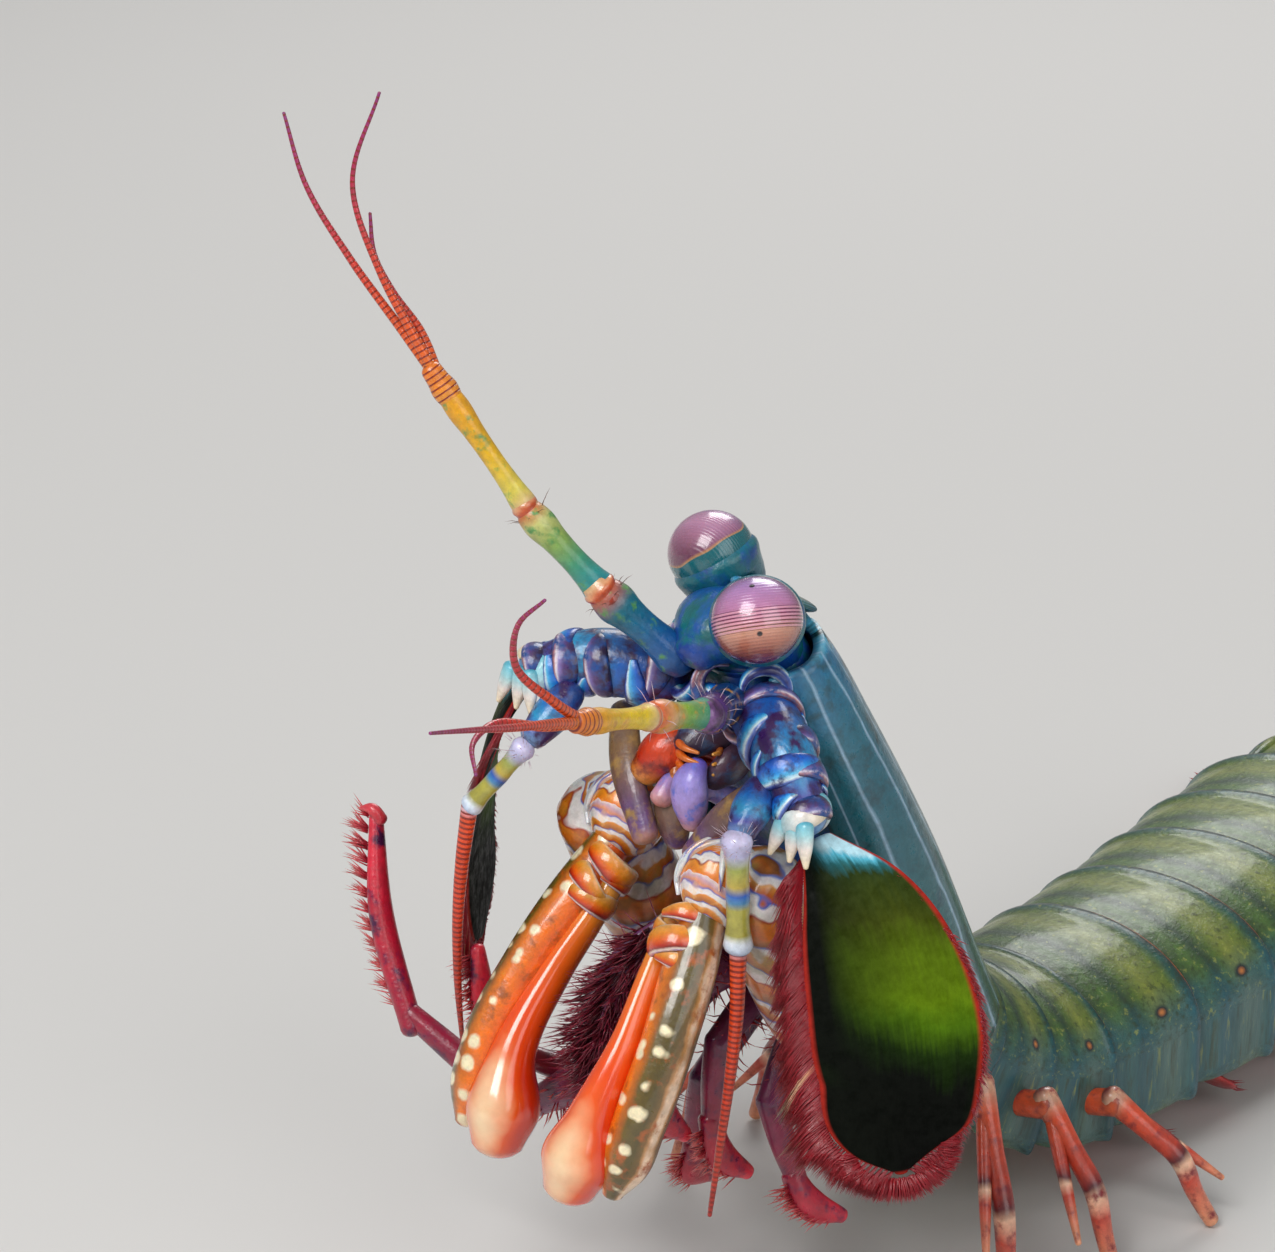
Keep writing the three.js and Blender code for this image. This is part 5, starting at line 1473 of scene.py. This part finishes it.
# %% Legs
LEGS = [  # distance along the body line, then knee, ankle, foot and tip of the side rod
    (16.8, (11.8, -2.6, 16.0), (16.4, -5.0, 8.6), (18.2, -6.0, 0), (17.8, -8.4, 5.8)),
    (10.4, (12.2, -0.4, 12.6), (17.2, -0.6, 7.2), (19.4, -0.4, 0), (18.6, -4.0, 4.4)),
    (3.6, (12.4, 1.2, 10.0), (17.2, 3.2, 6.2), (19.2, 5.2, 0), (18.6, 7.2, 3.4)),
]
FOOT_PAD = Vector((0, 0, 0.6))  # keeps the rounded end of a foot above the floor
for flank, way in FLANKS.items():
    for i, (s, *places) in enumerate(LEGS):
        _, back, point = level_frame(s)
        hip = beside(s, way * 5.6, -3.2)
        knee, ankle, foot, rod = (point((way * p[0], p[1], p[2])) for p in places)
        bm = new_bmesh()
        thigh = [hip, hip.lerp(knee, 0.6), knee]
        limb(bm, thigh, [1.4, (1.0, 1.1), 1.15], side=back, sides=20, pitch=0.4, span=(0, 0.4))
        shin = [knee.lerp(ankle, -0.1), knee.lerp(ankle, 0.5), ankle, ankle.lerp(foot, 0.5),
                foot + FOOT_PAD]
        shin_halves = [1.05, 0.85, (0.9, 0.85), (0.75, 0.7), (0.65, 0.6)]
        limb(bm, shin, shin_halves, side=back, sides=20, pitch=0.4, span=(0.4, 1))
        side_rod = [knee, knee.lerp(rod, 0.6), rod]
        limb(bm, side_rod, [0.6, 0.5, 0.25], side=back, sides=14, pitch=0.4, span=(0.4, 1))
        piece(bm, f"leg_{i + 1}_{flank}_limb", f"leg_{i + 1}_{flank}", "leg", LEG_FINISH)

# %% Swimmerets
LEAF_HALVES = [(0.9, 0.5), (2.0, 0.42), (1.6, 0.36), (0.4, 0.2)]
for pair in range(1, 6):
    left, back, point = level_frame(-ABDOMEN_PITCH * (pair - 1) - 3)
    bm = new_bmesh()
    bridge = [point(p) for p in ((-5.6, 0, 6.6), (0, 0, 6.0), (5.6, 0, 6.6))]
    limb(bm, bridge, [(0.9, 1.0), (0.6, 0.7), (0.9, 1.0)], side=back, sides=20, pitch=0.5)
    hairs, gills = [], []
    for way in (-1, 1):
        for x, out in ((7.4, 1.0), (3.2, 0)):
            root, tip = Vector((way * (x - 0.6), -0.4, 6.5)), Vector((way * (x + out), 5.4, 1.9))
            leaf = [point(root.lerp(tip, t)) for t in (0, 0.55, 0.9, 1)]
            limb(bm, leaf, LEAF_HALVES, side=left, sides=24)
            for _ in range(26):
                spread = random.uniform(-1, 1)
                on = root.lerp(tip, random.uniform(0.55, 0.98)) + Vector((spread * 1.5, 0, 0))
                reach = (spread * 0.9, random.uniform(1.8, 3.0), random.uniform(-1.5, -0.9))
                hairs.append((point(on), point(on + Vector(reach)), (0, 0, -0.2)))
        for k in range(7):
            end = point((way * (3.8 + k * 0.5), 2.0 + 0.5 * (k % 3), 4.6 - 0.2 * k))
            gills.append((point((way * 5.2, -0.4, 6.5)), end, (0, 0, -0.3)))
    bristles(bm, hairs, 0.12, finish=1)
    bristles(bm, gills, 0.28)
    piece(bm, f"swimmeret_{pair}_pair", f"swimmeret_{pair}", "swimmeret", SWIM_FINISH, FRINGE)
print("legs and swimmerets made")

# %% [markdown]
# ## Tail fan
# The tail ends in a keeled plate with six teeth, and a paddle on each side with spines on its
# outer edge and a red fringe. It is the animal's armour when it shuts its burrow.

# %% Tail finishes
# The plate is armour too: green and slate patches, with an orange rear edge.
TAIL_FINISH = chitin(
    "telson_olive_chitin",
    [(0.0, "b8401c"), (0.12, "e0a038"), (0.25, "3a6a28"), (0.6, "3f7a3a"), (0.85, "2a5a4a"),
     (1.0, "24401a")],
    waver=0.2, waver_mm=4, mottle=("16485a", 3.0, 0.4),
)
# The side paddles run like an oil sheen from blue through gold to red.
UROPOD_FINISH = chitin(
    "uropod_red_chitin",
    [(0.0, "2a6a8a"), (0.25, "3a8a6a"), (0.5, "d8a030"), (0.7, "d8401c"), (1.0, "a81c28")],
    waver=0.25, mottle=("1c3a7a", 2.0, 0.35),
)
# The spines thin out to a clear cream point.
SPINE_FINISH = chitin(
    "spine_amber_chitin", [(0.0, "d85a1c"), (0.7, "f0b050"), (1.0, "f8e8c0")]
)

# %% Telson
tail_left, _, tail_point = level_frame(-ABDOMEN_PITCH * 6 - 0.17)
TELSON = [(0, 9.2, 10.0, 5.0), (0.35, 6.0, 10.6, 4.2), (0.75, 3.3, 9.6, 2.6), (1, 1.9, 7.2, 1.2)]
TELSON_LENGTH = 19
TEETH = [(2.6, 17.2, 3.6, 0.9), (6.2, 16.4, 3.4, 1.2), (9.2, 12.4, 2.8, 1.0)]


def tail_spine(bm, root, tip, half, high, finish=0, lift=0.0):
    middle = tail_point(Vector(root).lerp(Vector(tip), 0.5)) + Vector((0, 0, lift))
    thick = (half * 0.8, high * 0.8)
    points = [tail_point(root), middle, tail_point(tip)]
    limb(bm, points, [thick, thick, 0.08], side=tail_left, sides=14, pitch=0.5, finish=finish)


bm = new_bmesh()
rows = [[*tail_point((0, TELSON_LENGTH * share, z)), half, height]
        for share, z, half, height in reversed(TELSON)]
loft(bm, rows, side=tail_left, sides=72, pitch=0.5, section=arch)
for x in (0, -3.4, 3.4, -6.8, 6.8):
    high = 4.9 * math.sqrt(1 - (x / 10.6) ** 2)
    crest = (x * 0.9, 2, 8.6 + high * 0.9)
    tail_spine(bm, crest, (x, 15.5, 3.6 + high * 0.62), 0.8, 1.0, lift=0.5)
for x, behind, length, half in TEETH:
    for way in (-1, 1):
        root = (way * x, behind - 1.4, 2.4 if x > 8 else 1.5)
        tail_spine(bm, root, (way * (x + 0.5), behind + length, 0.9), half, 0.8, finish=1)
piece(bm, "telson_plate", "telson", "tail", TAIL_FINISH, SPINE_FINISH)

# %% Uropods
UROPOD = [  # stations of the base, the outer arm, the paddle on it and the inner paddle
    [(8.6, -3.4, 6.0, 2.0, 1.9), (11.6, -0.6, 5.0, 2.1, 1.8), (14.2, 2.2, 4.2, 1.8, 1.4)],
    [(14.0, 1.2, 4.2, 1.6, 1.2), (17.6, 6.0, 3.7, 2.3, 1.2), (20.0, 11.2, 3.1, 1.9, 0.9)],
    [(19.8, 10.6, 3.0, 1.7, 0.8), (21.4, 15.6, 2.4, 2.9, 0.6), (22.4, 20.0, 1.9, 1.6, 0.4),
     (22.6, 21.2, 1.8, 0.3, 0.2)],
    [(13.4, 1.8, 2.6, 1.2, 0.8), (15.4, 9.2, 1.8, 2.4, 0.6), (16.5, 16.4, 1.3, 1.4, 0.4),
     (16.7, 18.0, 1.2, 0.3, 0.2)],
]
UROPOD_SPANS = [(0, 0.25), (0.25, 0.5), (0.5, 0.75), (0.5, 1)]
FAN_FRINGES = [  # middle, half width, half length, hairs
    ((21.4, 16.0, 2.3), 2.5, 4.4, 110), ((15.6, 11.2, 1.6), 2.0, 6.0, 120),
]


def fan_fringe(bm, way):
    """Hairs round the ends of both paddles."""
    hairs = []
    for (x, y, z), half_wide, half_long, count in FAN_FRINGES:
        for _ in range(count):
            angle = random.uniform(-0.35, 1.25) * math.pi
            wide, long = math.cos(angle), math.sin(angle)
            on = Vector((x + wide * half_wide + long * 0.9, y + long * half_long, z - long * 0.4))
            end = on + Vector((wide * 1.6, long * 1.6 + 0.9, -0.2)) * random.uniform(0.7, 1.1)
            on.x, end.x = on.x * way, end.x * way
            hairs.append((tail_point(on), tail_point(end), (0, 0, 0)))
    bristles(bm, hairs, 0.12, finish=2)


for flank, way in FLANKS.items():
    bm = new_bmesh()
    for stations, span in zip(UROPOD, UROPOD_SPANS):
        rows = [[*tail_point((way * x, behind, z)), half, height]
                for x, behind, z, half, height in stations]
        loft(bm, rows, side=tail_left, pitch=0.4, span=span)
    tail_spine(bm, (way * 12.6, 1.6, 4.6), (way * 14.6, 15.6, 3.4), 1.2, 1.0, finish=1)
    tail_spine(bm, (way * 12.2, 1.6, 4.4), (way * 12.4, 10.6, 3.6), 1.0, 0.8, finish=1)
    for t in np.linspace(0, 1, 9):
        root = (way * (15.2 + 5 * t), 2.2 + 8.4 * t, 4 - 0.7 * t)
        tip = (way * (17.6 + 5.6 * t), 4.2 + 9.8 * t, 3.7 - 0.7 * t)
        tail_spine(bm, root, tip, 0.6, 0.5, finish=1)
    fan_fringe(bm, way)
    piece(
        bm, f"uropod_{flank}_fan", f"uropod_{flank}", "uropod",
        UROPOD_FINISH, SPINE_FINISH, FRINGE,
    )
print("tail fan made")

# %% [markdown]
# ## Floor and light
# A pale matt floor and three soft lamps: one large lamp high beside the camera, a weaker one on
# the other side, and one behind that gives the shell's edges their shine.

# %% Floor
floor_mesh = bpy.data.meshes.new("floor")
bm = bmesh.new()
bmesh.ops.create_grid(bm, x_segments=1, y_segments=1, size=4)
bm.to_mesh(floor_mesh)
bm.free()
floor = bpy.data.objects.new("floor", floor_mesh)
bpy.context.scene.collection.objects.link(floor)
paper = bpy.data.materials.new("matt_paper")  # a dull pale grey that keeps the shadows soft
paper.use_nodes = True
surface = paper.node_tree.nodes["Principled BSDF"].inputs
surface["Base Color"].default_value = colour("d4d2cf")
surface["Roughness"].default_value = 0.9
floor_mesh.materials.append(paper)

# %% Light
LAMPS = [  # name, place, size in metres, watts
    ("key_lamp", (0.10, -0.55, 0.60), 0.40, 4.2),
    ("fill_lamp", (0.60, -0.10, 0.35), 0.50, 1.3),
    ("rim_lamp", (-0.35, 0.45, 0.50), 0.35, 2.0),
]
TARGET = Vector((0.0, -0.03, 0.04))
for name, place, size, watts in LAMPS:
    lamp_data = bpy.data.lights.new(name, "AREA")
    lamp_data.size = size
    lamp_data.energy = watts
    lamp = bpy.data.objects.new(name, lamp_data)
    lamp.location = place
    lamp.rotation_euler = (Vector(place) - TARGET).to_track_quat("Z", "Y").to_euler()
    bpy.context.scene.collection.objects.link(lamp)

world = bpy.data.worlds.new("studio")
world.use_nodes = True
sky = world.node_tree.nodes["Background"].inputs
sky["Color"].default_value = colour("e6e8ea")
sky["Strength"].default_value = 0.3
bpy.context.scene.world = world
bpy.context.scene.view_settings.view_transform = "Standard"
print("lamps:", len(LAMPS))

# %% Sizes and finish
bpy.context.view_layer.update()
faces = [p for o in bpy.data.objects if o.type == "MESH" for p in o.data.polygons]
print("triangles:", sum(len(p.vertices) - 2 for p in faces))
